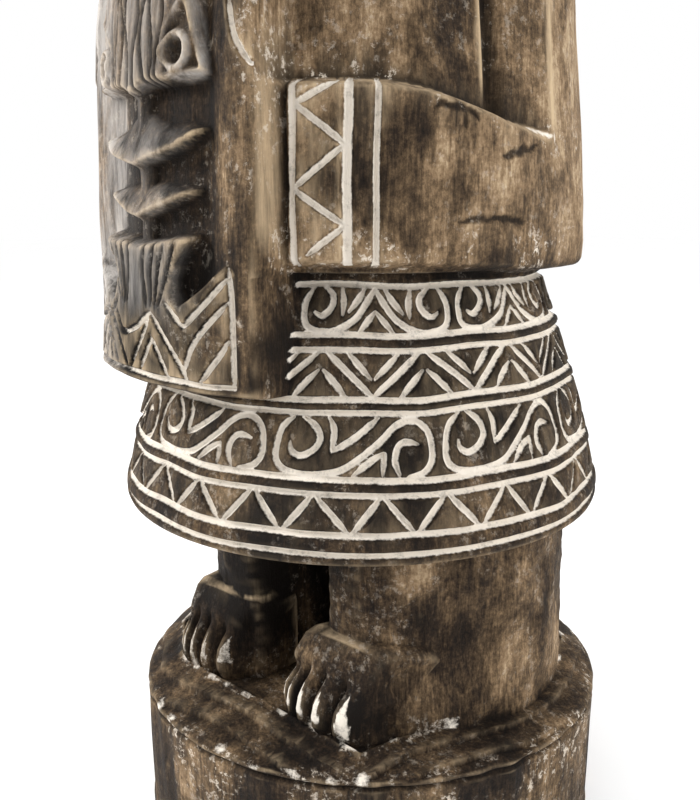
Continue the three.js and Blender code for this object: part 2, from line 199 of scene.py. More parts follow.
def bump(x, y, width, height):
    """A soft mound: the bell curve of the distance measured in half widths and half heights."""
    return np.exp(-((x / width) ** 2) - (y / height) ** 2)


def between(value, low, high, soft):
    """1 from low to high, falling smoothly to 0 over the soft width outside each end."""
    return smooth(value, low - soft, low) * smooth(value, high + soft, high)


def near(distance, reach):
    """1 close to a line, falling smoothly to 0 at the reach."""
    return smooth(np.abs(distance), reach, 0.2 * reach)


def uneven(x, y, length, seed):
    """Hand-made unevenness from -1 to 1: the mean of six plane waves of about the given length."""
    draws = np.random.default_rng(seed)
    total = np.zeros_like(x)
    for turn in draws.uniform(0, math.pi, 6):
        pitch = 2 * math.pi / (length * draws.uniform(0.6, 1.6))
        phase = draws.uniform(0, 2 * math.pi)
        total += np.sin(pitch * (x * math.cos(turn) + y * math.sin(turn)) + phase)
    return total / 3.0


def rounded_path(points, steps=5):
    """A Catmull-Rom curve through the points, with some steps between each two."""
    knots = np.array([points[0], *points, points[-1]], dtype=float)
    share = np.linspace(0, 1, steps, endpoint=False)[:, None]
    runs = []
    for before, start, end, after in zip(knots, knots[1:], knots[2:], knots[3:]):
        square = share * share
        cube = square * share
        bend = 2 * before - 5 * start + 4 * end - after
        twist = 3 * start - before - 3 * end + after
        runs.append(0.5 * (2 * start + (end - before) * share + bend * square + twist * cube))
    return np.vstack([*runs, knots[-1:]])


def stroke(x, y, points, half_width=LINE_WIDTH / 2):
    """A tapered cut: 1 on the path, falling in a straight line to 0 at its half width."""
    path = rounded_path(points)
    lengths = np.hypot(*np.diff(path, axis=0).T)
    reach = np.concatenate([[0], np.cumsum(lengths)])
    field = np.zeros_like(x)
    close = (x > path[:, 0].min() - half_width) & (x < path[:, 0].max() + half_width)
    close &= (y > path[:, 1].min() - half_width) & (y < path[:, 1].max() + half_width)
    close_x = x[close]
    close_y = y[close]
    best = np.zeros_like(close_x)
    for start, end, first, length in zip(path, path[1:], reach, lengths):
        run_x, run_y = end - start
        along = ((close_x - start[0]) * run_x + (close_y - start[1]) * run_y) / max(length * length, 1e-9)
        along = np.clip(along, 0, 1)
        away = np.hypot(close_x - start[0] - along * run_x, close_y - start[1] - along * run_y)
        done = first + along * length
        taper = np.minimum(done, reach[-1] - done) / (2.2 * half_width)
        width = half_width * np.clip(0.45 + 0.55 * taper, 0.45, 1.0)
        best = np.maximum(best, 1 - away / width)
    field[close] = best
    return field


def inside_outline(x, y, outline):
    """Distance to a closed outline, positive inside it and negative outside."""
    corners = np.array(outline, dtype=float)
    distance = np.full_like(x, 1e6)
    within = np.zeros(x.shape, dtype=bool)
    for start, end in zip(corners, np.roll(corners, -1, axis=0)):
        run = end - start
        along = np.clip(((x - start[0]) * run[0] + (y - start[1]) * run[1]) / (run @ run), 0, 1)
        away = np.hypot(x - start[0] - along * run[0], y - start[1] - along * run[1])
        distance = np.minimum(distance, away)
        if run[1] != 0:
            left = x < start[0] + run[0] * (y - start[1]) / run[1]
            within ^= ((start[1] > y) != (end[1] > y)) & left
    return np.where(within, distance, -distance)


def mirrored(strokes):
    """The strokes with the sign of their first coordinate turned."""
    return [[(-across, up) for across, up in points] for points in strokes]


# Ornament of the skirt: each stroke holds (share of the repeat, share of the band's height)
TEETH = [[(0.03, 0.95), (0.47, 0.05)]]
CHEVRONS = [
    [(0.04, 0.95), (0.5, 0.05)],
    [(0.02, 0.6), (0.12, 0.36), (0.24, 0.05)],
    [(0.24, 0.93), (0.36, 0.68), (0.48, 0.42)],
]
SMALL_SCROLLS = [
    [(0.5, 0.94), (0.45, 0.66), (0.37, 0.32), (0.25, 0.08), (0.16, 0.05), (0.08, 0.12), (0.045, 0.31),
     (0.05, 0.66), (0.1, 0.94)],
    [(0.17, 0.95), (0.23, 0.76), (0.22, 0.54), (0.16, 0.36), (0.11, 0.44)],
    [(0.29, 0.94), (0.3, 0.65), (0.29, 0.38)],
    [(0.44, 0.94), (0.4, 0.72), (0.33, 0.45)],
    [(0.5, 0.48), (0.44, 0.25), (0.39, 0.06)],
]
BIG_SCROLLS = [
    [(0.15, 0.93), (0.08, 0.78), (0.05, 0.53), (0.05, 0.26), (0.11, 0.1), (0.23, 0.05), (0.34, 0.07),
     (0.44, 0.14), (0.53, 0.3), (0.65, 0.56), (0.73, 0.77), (0.8, 0.88), (0.88, 0.88), (0.94, 0.72),
     (0.96, 0.46), (0.95, 0.25), (0.9, 0.1), (0.82, 0.06)],
    [(0.21, 0.93), (0.28, 0.8), (0.31, 0.6), (0.27, 0.42), (0.19, 0.33), (0.14, 0.41), (0.13, 0.53)],
    [(0.77, 0.08), (0.74, 0.29), (0.76, 0.5), (0.81, 0.58), (0.88, 0.54)],
    [(0.36, 0.93), (0.39, 0.74), (0.38, 0.42)],
    [(0.38, 0.41), (0.5, 0.61), (0.65, 0.92)],
    [(0.51, 0.07), (0.6, 0.28), (0.68, 0.41)],
    [(0.68, 0.4), (0.67, 0.08)],
]
# Lower line, upper line, repeats round the skirt, angle of one repeat, strokes
SKIRT_BANDS = [
    (302, 326, 27, 50.5, TEETH + mirrored(TEETH)),
    (335, 375, 10, 62.5, BIG_SCROLLS),
    (383, 413, 15, 61.0, CHEVRONS + mirrored(CHEVRONS)),
    (422, 452, 9, 70.0, SMALL_SCROLLS + mirrored(SMALL_SCROLLS)),
]


def skirt_radius(z):
    """A bell: the hem radius less a power of the height share."""
    share = np.clip((z - HEM_Z) / (WAIST_Z - HEM_Z), 0, 1.2)
    return HEM_RADIUS - (HEM_RADIUS - WAIST_RADIUS) * share ** SKIRT_FLARE


def skirt_lines(angle, z):
    """Ring lines and the repeated strokes of each band, as cut shares; slow waves make them hand drawn."""
    arc = np.radians(angle) * MEAN_RADIUS
    wobble_x = 0.9 * uneven(arc, z, 60, 3)
    wobble_z = 0.8 * uneven(arc, z, 75, 4)
    cut = np.zeros_like(z)
    for line in RING_LINES:
        cut = np.maximum(cut, 1 - np.abs(z + wobble_z - line) / (0.46 * LINE_WIDTH))
    for low, high, repeats, start, strokes in SKIRT_BANDS:
        period = 360 / repeats
        width = math.radians(period) * float(skirt_radius((low + high) / 2))
        share = ((angle - start) / period) % 1.0
        for shift in (-1, 0, 1):
            x = (share + shift) * width + wobble_x
            for points in strokes:
                path = [(across * width, low + up * (high - low)) for across, up in points]
                cut = np.maximum(cut, stroke(x, z + wobble_z, path))
    return np.clip(cut, 0, 1) * (z > HEM_Z) * (z < FOREARM_LOW)


def skirt_surface(z):
    """The bell with rounded fillets between the paired ring lines and a soft hem."""
    fillets = np.zeros_like(z)
    for low, high in zip(RING_LINES[0::2], RING_LINES[1::2]):
        fillets = np.maximum(fillets, rounded(np.minimum(z - low, high - z), 5))
    hem = 4 * (1 - rounded(z - HEM_Z + 2, 8))
    return skirt_radius(z) + 1.0 * fillets - hem - 0.8


def arm_radius(z):
    """Outer side of the arm, which swells evenly from the shoulder down to the elbow."""
    return np.interp(z, ARM_HEIGHTS, ARM_RADII)


def body_surface(angle, z):
    """Torso with upper arms standing out at the sides, a crease before and behind each, and the spine."""
    turn = np.abs(angle)
    arm = np.clip((turn - ARM_CREASE) / (ARM_EDGE - ARM_CREASE), 0, 1)
    arm = arm * (1 - smooth(turn, ARM_BACK - 12, ARM_BACK + 6))
    crease = np.maximum(1 - np.abs(turn - ARM_CREASE) / CREASE_HALF_ANGLE, 0.8 - np.abs(turn - ARM_BACK) / 9)
    crease = np.maximum(crease, 0)
    spine = smooth(turn, 170, 180)
    torso = TORSO_RADIUS - BODY_TAPER * (z - FOREARM_HIGH) - 5 * smooth(turn, 55, ARM_CREASE)
    shoulder = np.clip((z - SHOULDER_Z + SHOULDER_ROUND) / SHOULDER_ROUND, 0, 1)
    round_over = np.sqrt(np.maximum(0, 1 - shoulder ** 2.2))
    full = torso + (arm_radius(z) - torso) * arm - CREASE_DEPTH * crease - SPINE_DEPTH * spine
    full = full - 8 * (1 - smooth(z, FOREARM_LOW - 6, FOREARM_LOW + 14))
    return SHOULDER_TOP_RADIUS + (full - SHOULDER_TOP_RADIUS) * round_over


def forearm_top(turn):
    """Upper edge of the forearm: level at the shield, then a smooth fall towards the elbow."""
    return FOREARM_HIGH - FOREARM_DROP * smooth(turn, 45, ELBOW_ANGLE - 30)


def forearm_low(turn):
    """Lower edge of the forearm: a smooth dip at the side, then a rise round the elbow."""
    return FOREARM_LOW - 8 * smooth(turn, 50, 100) + 16 * smooth(turn, 112, ELBOW_ANGLE)


def forearm_surface(angle, z):
    """Slab from the elbow to the shield: its radius, and the height share left by its rounded rim."""
    turn = np.abs(angle)
    merge = smooth(turn, 62, 95)
    radius = FOREARM_RADIUS * (1 - merge) + arm_radius(z) * merge - 10 * smooth(turn, 118, ELBOW_ANGLE)
    inside = np.minimum(forearm_top(turn) - z, z - forearm_low(turn))
    inside = np.minimum(inside, (ELBOW_ANGLE - turn) * 2.8)
    return radius, rounded(inside, FOREARM_EDGE)


# Armband: angles and half widths of its upright lines, and the turns of its zigzag as (angle, height)
ARMBAND_LINES = (26.5, 32.5, 43.7, 49.2)
ARMBAND_HALF_WIDTHS = (1.6, 3.9, 4.1, 2.7)
ARMBAND_TURNS = [(41.5, 571), (33, 558), (43.2, 536), (33, 511), (43.2, 490), (35.5, 473)]

# Drying cracks and dark knots on the left arm, as (angle, height)
CRACKS = [
    [(59.9, 556.6), (62.6, 557.9), (66.6, 555.6), (69.5, 550.5)],
    [(66.6, 555.1), (66.7, 545.2)],
    [(76.2, 530.4), (80.3, 533.1), (87.9, 537.5)],
    [(65.7, 492.7), (70.8, 493.8), (76.9, 493.7), (82.5, 491.1)],
]
KNOTS = [(31.2, 512.8, 3.5), (31.2, 484.6, 3.0), (31.3, 565.2, 3.0), (46.5, 514.2, 2.2), (33.0, 521.6, 2.5),
         (28.3, 420.0, 7.0), (27.6, 397.0, 6.0), (46.8, 492.0, 2.5)]


def crack_marks(angle, z):
    """Thin ragged dark strokes, and round knots as soft mounds of darkness."""
    x = np.radians(angle) * FOREARM_RADIUS
    ragged = z + 1.2 * uneven(x, z, 9, 71)
    marks = np.zeros_like(z)
    for points in CRACKS:
        path = [(math.radians(turn) * FOREARM_RADIUS, height) for turn, height in points]
        marks = np.maximum(marks, np.minimum(1.8 * stroke(x, ragged, path, 3.0), 1))
    for turn, height, size in KNOTS:
        middle = math.radians(turn) * FOREARM_RADIUS
        marks = np.maximum(marks, bump(x - middle, ragged - height, size, 1.4 * size))
    return marks


# Dark and rubbed patches of the stain on the left side: angle, height, half width, half height, change
STAINS = [
    (88, 241, 16, 10, 0.22), (79, 231, 16, 12, 0.22), (71, 213, 14, 12, 0.2), (56.6, 249, 4, 14, 0.2),
    (64.5, 251, 3, 12, 0.2), (83, 214, 14, 9, 0.18), (70.7, 197, 26, 16, -0.16), (62.6, 217, 20, 16, -0.12),
    (93, 239, 14, 8, -0.2), (41, 241, 14, 20, -0.1),
    (43, 588, 14, 7, -0.24), (54, 599, 24, 9, -0.18), (67, 608, 24, 8, -0.16), (35, 602, 10, 10, -0.16),
    (59.6, 582, 22, 6, 0.14), (71, 593, 16, 7, 0.12), (28.6, 603, 6, 14, 0.15),
    (58, 546, 16, 10, -0.14), (68, 505, 22, 10, -0.14), (54, 476, 16, 8, -0.2), (52, 500, 8, 20, -0.14),
    (72.6, 519, 16, 14, 0.14), (80, 485, 18, 12, 0.14), (62, 528, 12, 14, 0.1), (53, 562, 12, 6, 0.1),
    (87, 510, 16, 20, 0.1),
]


def stain_marks(angle, z):
    """Change of tone: the sum of soft mounds whose edges slow waves make ragged."""
    x = np.radians(angle) * FOREARM_RADIUS
    ragged_x = x + 7 * uneven(x, z, 30, 72)
    ragged_z = z + 5 * uneven(x, z, 34, 73)
    change = np.zeros_like(z)
    for turn, height, wide, high, amount in STAINS:
        middle = math.radians(turn) * FOREARM_RADIUS
        change = change + amount * bump(ragged_x - middle, ragged_z - height, wide, high)
    return change


def armband_lines(angle, z):
    """Upright cuts on each forearm; on the left arm a zigzag runs between the middle two."""
    x = np.abs(angle) * math.radians(1) * FOREARM_RADIUS
    place = math.radians(1) * FOREARM_RADIUS
    waved = x + 1.0 * uneven(x, z, 70, 11)
    cut = np.zeros_like(z)
    for line, width in zip(ARMBAND_LINES, ARMBAND_HALF_WIDTHS):
        upright = [(line * place, FOREARM_LOW - 4), (line * place, FOREARM_HIGH + 4)]
        cut = np.maximum(cut, stroke(waved, z, upright, width))
        end = [(line * place, FOREARM_LOW - 6), (line * place, FOREARM_LOW + 9)]
        cut = np.maximum(cut, stroke(waved, z, end, 1.5 * width))
    zigzag = np.zeros_like(z)
    for first, second in zip(ARMBAND_TURNS, ARMBAND_TURNS[1:]):
        path = [(first[0] * place, first[1]), (second[0] * place, second[1])]
        zigzag = np.maximum(zigzag, stroke(waved, z, path, 2.9))
    return np.maximum(cut, np.where(angle > 0, zigzag, 0))


def shield_radius(z):
    """A bent plate that leans back above the arms."""
    bend = SHIELD_BEND * np.maximum(0, z - SHIELD_BEND_Z) ** 2
    return SHIELD_RADIUS - SHIELD_LEAN * (z - SHIELD_LOW) - bend


# Raised parts of the mask, as outlines of (angle from the middle, height); each crosses the middle
FACE = [(-3, 566), (1.2, 565), (2.9, 569), (6, 571), (12.4, 572), (19.8, 573), (18.8, 582), (17.7, 590),
        (16.4, 602), (15.5, 613), (14, 630), (11, 652), (6, 672), (-3, 682)]
# Lips: angles from the middle, with the heights of the upper and the lower edge there
UPPER_LIP = ((0, 1.7, 5, 7.9, 12.2, 15.5, 18.2), (558, 557.8, 551, 548.6, 548, 547.4, 545.4),
             (525, 526, 528.5, 530.5, 534.5, 540, 545.2))
LOWER_LIP = ((0, 3, 7.4, 11.8, 15.8), (514, 514, 513.4, 512.8, 511.4), (494, 496, 500.5, 505.5, 511.2))
BEARD_AND_PANEL = [(-3, 481), (1.8, 481), (7.8, 483), (16.4, 485), (14.3, 476), (12, 467), (10.6, 458.5),
                   (10.4, 452), (11.8, 443.8), (17.1, 455.6), (21.3, 466), (23.4, 469.5), (24.9, 463),
                   (25, 370), (-3, 370)]
TOP_LEAF = [(22.2, 612), (23.1, 601.5), (24.2, 588), (26.4, 580.4), (28.6, 574), (28.8, 585), (29.2, 612),
            (27, 640), (22.5, 640)]
EYE = (12.6, 588)
EYE_FIELD = [(9.6, 575.5), (18.6, 576), (16.6, 592), (14.6, 612), (13.6, 613), (9.4, 598)]

# White lines of the mask, drawn on both halves
MASK_LINES = [
    [(13.2, 429), (18, 444), (23, 460)],
    [(9, 443), (13.2, 429)],
    [(13.2, 401.4), (14.9, 416.6), (17.7, 428.5), (22.9, 445)],
    [(17.1, 397.3), (20.9, 412.9), (23, 423.6)],
    [(23.4, 466), (23.9, 441.5), (23.9, 395.6)],
    [(23.8, 612), (24.9, 593), (27.8, 577)],
    [(9.5, 660), (12.5, 640), (14, 622)],
]
# Raised pale rims of the eye field
EYE_RIMS = [
    [(9.3, 597), (11.4, 606), (14, 616)],
    [(19.2, 575), (17.2, 592), (15.4, 614), (13.6, 634)],
    [(10, 573.8), (14, 574), (19.2, 575)],
]
# Zigzag at the foot of the shield: strokes from a peak, repeated at each peak
PEAKS = (4.5, -14.1)
PEAK_LINES = [
    [(0.5, 436), (8.7, 401), (8.8, 396)],
    [(-0.3, 434), (-8.2, 397)],
    [(0.3, 437), (-9.9, 419.6), (-14, 433)],
    [(-0.3, 422.6), (4.6, 395)],
    [(-0.1, 420), (-4.4, 397)],
]
STRANDS = (1.6, 3.9, 6.2, 8.4)
HAIR_HEIGHTS = range(568, 676, 9)
EYE_RING_RADIUS = 9.4
EYE_RING_HALF = 3.2
EYE_FIELD_LOW = 560
EYE_FIELD_HIGH = 625


def on_plate(points):
    """Angle and height pairs as millimetres along the bent plate."""
    return [(math.radians(angle) * SHIELD_RADIUS, z) for angle, z in points]


def mask_raise(angle, z):
    """Height share of the mask over the sunk ground: the highest of its rounded parts."""
    x = np.abs(np.radians(angle)) * SHIELD_RADIUS
    wave = 0.8 * uneven(x * np.sign(angle), z, 40, 21)
    high = np.zeros_like(z)
    for outline, edge in ((FACE, 4), (BEARD_AND_PANEL, 4), (TOP_LEAF, 4)):
        high = np.maximum(high, rounded(inside_outline(x + wave, z + wave, on_plate(outline)), edge))
    for turns, tops, lows in (UPPER_LIP, LOWER_LIP):
        turn = np.abs(angle)
        top = np.interp(turn, turns, tops)
        low = np.interp(turn, turns, lows)
        down = np.clip((top - z - wave) / np.maximum(top - low, 0.1), 0, 1)
        share = smooth(z + wave - low, -2.0, 1.5) * smooth(top - z - wave, -2.0, 1.5)
        share = share * smooth(turns[-1] - turn, 0, 0.5)
        high = np.maximum(high, (0.25 + 0.75 * down ** 0.8) * share)
    bar = 0.5 * rounded(MASK_BAR_HALF - x, 4) * (z > MASK_BAR_LOW) * (z < MASK_BAR_HIGH)
    foot = rounded(SHIELD_FOOT_Z + 1 - z, 4)
    return np.maximum(high, np.maximum(bar, foot))


def mask_lines(angle, z):
    """White cuts of the mask as cut shares."""
    signed = np.radians(angle) * SHIELD_RADIUS
    waved_z = z + 0.7 * uneven(signed, z, 50, 22)
    x = np.abs(signed)
    cut = np.clip(1 - np.abs(waved_z - SHIELD_FOOT_Z) / 2.4, 0, 1) * (np.abs(angle) < 24.4)
    for points in MASK_LINES:
        cut = np.maximum(cut, stroke(x, waved_z, on_plate(points), 2.7))
    for peak in PEAKS:
        for points in PEAK_LINES:
            path = on_plate([(peak + angle_share, height) for angle_share, height in points])
            cut = np.maximum(cut, stroke(signed, waved_z, path, 2.7))
    return cut * (np.abs(angle) < SHIELD_HALF_ANGLE)


def mask_strands(angle, z):
    """Shallow wavy cuts of the hair above the nose and of the beard."""
    x = np.abs(np.radians(angle)) * SHIELD_RADIUS
    cut = np.zeros_like(z)
    for strand in STRANDS:
        hair = [(strand + 0.7 * math.sin(0.1 * height + 1.9 * strand), height) for height in HAIR_HEIGHTS]
        beard = [(1.25 * strand + 1.5, 479), (1.05 * strand + 1.2, 464), (0.7 * strand + 2.4, 449),
                 (0.5 * strand + 3, 441)]
        for points in (hair, beard):
            cut = np.maximum(cut, stroke(x, z, on_plate(points), 1.5 + 0.7 * (strand % 2)))
    return cut


def from_eye(angle, z):
    """Distance from the middle of the nearer mask eye."""
    x = np.abs(np.radians(angle)) * SHIELD_RADIUS
    return np.hypot(x - math.radians(EYE[0]) * SHIELD_RADIUS, z - EYE[1])


def eye_ring(angle, z):
    """1 on the pale ring of each mask eye, falling as a parabola to 0 at its sides."""
    return np.clip(1 - ((from_eye(angle, z) - EYE_RING_RADIUS) / EYE_RING_HALF) ** 2, 0, 1)


def eye_rims(angle, z):
    """The raised rims round the eye field, as height shares."""
    x = np.abs(np.radians(angle)) * SHIELD_RADIUS
    rims = np.zeros_like(z)
    for points in EYE_RIMS:
        rims = np.maximum(rims, stroke(x, z, on_plate(points), 3.0))
    return rims


def eye_relief(angle, z):
    """Sunk field with a raised ring round a deep hollow, in millimetres."""
    x = np.abs(np.radians(angle)) * SHIELD_RADIUS
    field = -4.0 * rounded(inside_outline(x, z, on_plate(EYE_FIELD)), 3)
    hollow = -7.0 * (1 - smooth(from_eye(angle, z), 4.0, 7.4))
    return field + 6.5 * eye_ring(angle, z) + hollow + 2.0 * eye_rims(angle, z)


def shield_surface(angle, z):
    """Bent plate with the mask standing on a sunk ground: its radius, and its rim's height share."""
    turn = np.abs(angle)
    top = SHIELD_HIGH - SHIELD_ARCH * (turn / SHIELD_HALF_ANGLE) ** 2.4
    ground = MASK_RELIEF * (1 - smooth(turn, 15, 25)) + 1
    radius = shield_radius(z) - ground * (1 - mask_raise(angle, z))
    radius = radius + eye_relief(angle, z) * (z > EYE_FIELD_LOW) * (z < EYE_FIELD_HIGH)
    inside = np.minimum((SHIELD_HALF_ANGLE - turn) * 3.5, np.minimum(z - SHIELD_LOW, top - z))
    return radius, rounded(inside, SHIELD_EDGE)


def face_relief(turn, z):
    """Soft mounds of brows, closed eyes, nose and lips, in millimetres, the same on both halves."""
    across = np.radians(turn) * HEAD_RADIUS
    eye = across - math.radians(EYE_ANGLE) * HEAD_RADIUS
    nose_width = 8 + 9 * smooth(z, NOSE_TOP - 9, NOSE_TIP - 2)
    nose = smooth(z, NOSE_TOP, NOSE_TIP) * smooth(z, NOSE_LOW, NOSE_LOW + 8)
    relief = 23 * nose * np.exp(-((across / nose_width) ** 4))
    relief = relief + 9 * bump(eye, z - EYE_Z - 23 + 0.004 * eye * eye, 26, 6)
    relief = relief - 8 * bump(eye, z - EYE_Z - 2, 24, 15) + 8 * bump(eye, z - EYE_Z, 18, 8)
    return relief + 9 * bump(across, z - UPPER_LIP_Z, 25, 5) + 10 * bump(across, z - LOWER_LIP_Z, 21, 6)


def head_surface(angle, z):
    """An egg with a flatter face, hollow ears, a raised headband and hair locks as rounded cosine waves."""
    share = np.clip(2 * (z - CHIN_Z) / (HEAD_TOP_Z - CHIN_Z) - 1, -1, 1)
    egg = np.maximum(1 - np.abs(share) ** HEAD_FULLNESS, 0) ** (1 / HEAD_FULLNESS)
    front = smooth(np.cos(np.radians(angle)), 0.2, 1)
    jaw = 1 - 0.1 * smooth(-share, 0, 1)
    radius = HEAD_RADIUS * egg * jaw * (1 - 0.05 * front)
    turn = np.abs(angle)
    ear = 13 * bump((turn - EAR_ANGLE) * 1.6, z - EAR_Z, 15, 30)
    ear = ear - 7 * bump((turn - EAR_ANGLE + 2) * 1.6, z - EAR_Z, 7, 18)
    band = 4 * rounded(np.minimum(z - BAND_LOW, BAND_HIGH - z), 4)
    locks = 3 * np.abs(np.cos(np.radians(angle) * HAIR_LOCKS / 2)) * smooth(z, BAND_HIGH, BAND_HIGH + 5)
    return radius + face_relief(turn, z) * egg + ear + band - locks * egg


def head_lines(angle, z):
    """A zigzag on the headband and the closed lids of the eyes, as cut shares."""
    arc = np.radians(angle) * HEAD_RADIUS
    period = 2 * math.pi * HEAD_RADIUS / 24
    fold = np.abs((arc / period) % 1.0 - 0.5) * 2
    cut = 1 - np.abs(z - BAND_LOW - 4 - 14 * fold) / 2.4
    cut = np.where((z > BAND_LOW + 2) & (z < BAND_HIGH - 2), cut, 0)
    eye = np.abs(arc) - math.radians(EYE_ANGLE) * HEAD_RADIUS
    lid = [(-17, EYE_Z - 1), (0, EYE_Z - 5), (17, EYE_Z - 1)]
    return np.clip(np.maximum(cut, stroke(eye, z, lid, 1.8)), 0, 1)


def neck_surface(z):
    """A round post that widens smoothly where it meets the shoulders."""
    return NECK_RADIUS + 8 * smooth(z, SHOULDER_Z + 20, SHOULDER_Z - 8)


def carved_lines(angle, z):
    """All lime-filled cuts above the hem, each on the form that carries it."""
    on_shield = (np.abs(angle) < SHIELD_HALF_ANGLE) & (z > SHIELD_LOW)
    on_arm = (np.abs(angle) < ELBOW_ANGLE) & (z > forearm_low(np.abs(angle)) + 1)
    on_arm &= z < forearm_top(np.abs(angle)) + 1
    skirt = np.where(on_shield | on_arm, 0, skirt_lines(angle, z))
    arm = np.where(on_shield | ~on_arm, 0, armband_lines(angle, z))
    shield = np.where(on_shield, mask_lines(angle, z), 0)
    head = np.where(z > CHIN_Z, head_lines(angle, z), 0)
    return np.maximum(np.maximum(skirt, arm), np.maximum(shield, head))


def softened(radius):
    """One pass of a 1-2-1 mean along both directions of the grid, round the axis without a seam."""
    rows = np.pad(radius, ((1, 1), (0, 0)), mode="edge")
    radius = (rows[:-2] + 2 * rows[1:-1] + rows[2:]) / 4
    return (np.roll(radius, 1, axis=1) + 2 * radius + np.roll(radius, -1, axis=1)) / 4


def figure_radius(angle, z):
    """Distance from the axis: skirt and body, then arms, shield, neck and head laid over them."""
    radius = np.where(z < FOREARM_LOW - 4, skirt_surface(z), body_surface(angle, z))
    slab, share = forearm_surface(angle, z)
    slab = slab - 10 * bump(np.abs(angle) - SHIELD_HALF_ANGLE - 1.0, 0 * z, 1.0, 1)
    radius = np.maximum(radius, radius + (slab - radius) * share)
    plate, share = shield_surface(angle, z)
    radius = np.where(share > 0, np.maximum(radius, radius + (plate - radius) * share), radius)
    neck = neck_surface(z)
    radius = np.where(z > SHOULDER_Z, neck, np.maximum(radius, np.where(z > SHOULDER_Z - 40, neck, 0)))
    head = np.maximum(np.where(z < CHIN_Z + 60, neck, 0), head_surface(angle, z))
    radius = np.where(z > CHIN_Z, head, radius)
    arc = np.radians(angle) * MEAN_RADIUS
    hewn = 0.9 * uneven(arc, z, 90, 31) + 0.5 * uneven(arc, 0.3 * z, 24, 32)
    radius = softened(radius + hewn * smooth(z, HEM_Z, HEM_Z + 20) - 0.8)
    strands = 2.6 * mask_strands(angle, z) * (np.abs(angle) < 20)
    marks = 1.2 * crack_marks(angle, z)
    return radius - LINE_DEPTH * np.minimum(1.25 * carved_lines(angle, z), 1) - strands - marks


def closed_rings(points):
    """Vertices and faces of a grid of rings, round in its second index, with a point closing each end."""
    rows, columns, _ = points.shape
    ring = np.arange(columns)
    after = np.roll(ring, -1)
    level = np.arange(rows - 1)[:, None] * columns
    above = level + columns
    quads = np.stack([level + ring, level + after, above + after, above + ring], axis=-1)
    low = rows * columns
    last = (rows - 1) * columns
    caps = np.concatenate([np.stack([after, ring, np.full(columns, low)], axis=-1),
                           np.stack([last + ring, last + after, np.full(columns, low + 1)], axis=-1)])
    corners = np.vstack([points.reshape(-1, 3), points[0].mean(axis=0), points[-1].mean(axis=0)])
    return corners, quads.reshape(-1, 4).tolist() + caps.tolist()


def solid_object(name, points):
    """A closed mesh from a grid of rings in millimetres, with its faces turned outwards."""
    corners, faces = closed_rings(points)
    first, second, third = (corners[[face[i] for face in faces]] for i in range(3))
    if np.einsum("ij,ij->", first, np.cross(second, third)) < 0:
        faces = [face[::-1] for face in faces]
    mesh = bpy.data.meshes.new(name)
    mesh.from_pydata(corners * METRE, [], faces)
    made = bpy.data.objects.new(name, mesh)
    bpy.context.collection.objects.link(made)
    return made


def round_points(angle, radius, z):
    """Points at an angle round an upright axis."""
    return np.stack([radius * np.sin(np.radians(angle)), -radius * np.cos(np.radians(angle)), z], axis=-1)


def stepped(stretches, end):
    """Places along a line: even steps within each stretch, which runs to the start of the next."""
    starts = [start for start, step in stretches]
    ends = [*starts[1:], end]
    return np.concatenate([np.arange(start, stop, step) for (start, step), stop in zip(stretches, ends)])


def upper_figure():
    """Everything above the hem as one radius over angle and height, with a turned-in lip under the hem."""
    angles = stepped(ANGLE_STEPS, 180)
    angle, z = np.meshgrid(angles, stepped(HEIGHT_STEPS, HEAD_TOP_Z - 1.8))
    rings = round_points(angle, figure_radius(angle, z), z)
    under = round_points(angle[0], np.full_like(angles, HEM_RADIUS - 30), np.full_like(angles, HEM_Z + 4.0))
    lip = round_points(angle[0], np.full_like(angles, HEM_RADIUS - 8), np.full_like(angles, HEM_Z - 1.0))
    points = np.concatenate([under[None], lip[None], rings])
    return solid_object("upper_figure", points + (FIGURE_X, FIGURE_Y, 0))


def placed_leg(points):
    """Leg-frame points turned and shifted to their place on the base."""
    turn = math.radians(LEG_TURN)
    x = points[..., 0] + LEG_SHIFT
    y = points[..., 1]
    turned_x = x * math.cos(turn) - y * math.sin(turn) + FIGURE_X
    turned_y = x * math.sin(turn) + y * math.cos(turn) + FIGURE_Y
    return np.stack([turned_x, turned_y, points[..., 2]], axis=-1)


def leg(side):
    """One leg as rays from its own middle to the nearest of its flat sides and the log's round back."""
    middle = np.array(LEG_MIDDLE)
    angle, z = np.meshgrid(np.arange(0, 360, 2.0), np.arange(LEG_LOW, LEG_HIGH, 3.0))
    ray_x = np.sin(np.radians(angle))
    ray_y = -np.cos(np.radians(angle))
    swell = 3 * bump(z - CALF_Z, 0 * z, CALF_REACH, 1)
    flare = 10 * smooth(z, 200, 140)
    walls = [(-1.0, -0.12, -LEG_GAP / 2 - 2), (0.0, -1.0, LEG_FRONT + swell),
             (0.78, -0.62, LEG_CORNER + 0.6 * swell + flare)]
    inverse = 0
    for normal_x, normal_y, offset in walls:
        room = offset - normal_x * middle[0] - normal_y * middle[1]
        toward = np.maximum(normal_x * ray_x + normal_y * ray_y, 0)
        inverse = inverse + (toward / room) ** LEG_SHARPNESS
    centre = middle + (LEG_SHIFT, 0)
    along = centre[0] * ray_x + centre[1] * ray_y
    room = -along + np.sqrt(along ** 2 + (LEG_RADIUS - 0.02 * (z - LEG_LOW)) ** 2 - centre @ centre)
    inverse = inverse + 1 / room ** LEG_SHARPNESS
    radius = inverse ** (-1 / LEG_SHARPNESS)
    radius = radius + 1.2 * uneven(angle, 0.35 * z, 30, 41) + 0.7 * uneven(angle, z, 14, 42)
    points = np.stack([side * (middle[0] + radius * ray_x), middle[1] + radius * ray_y, z], axis=-1)
    return solid_object("leg", placed_leg(points))


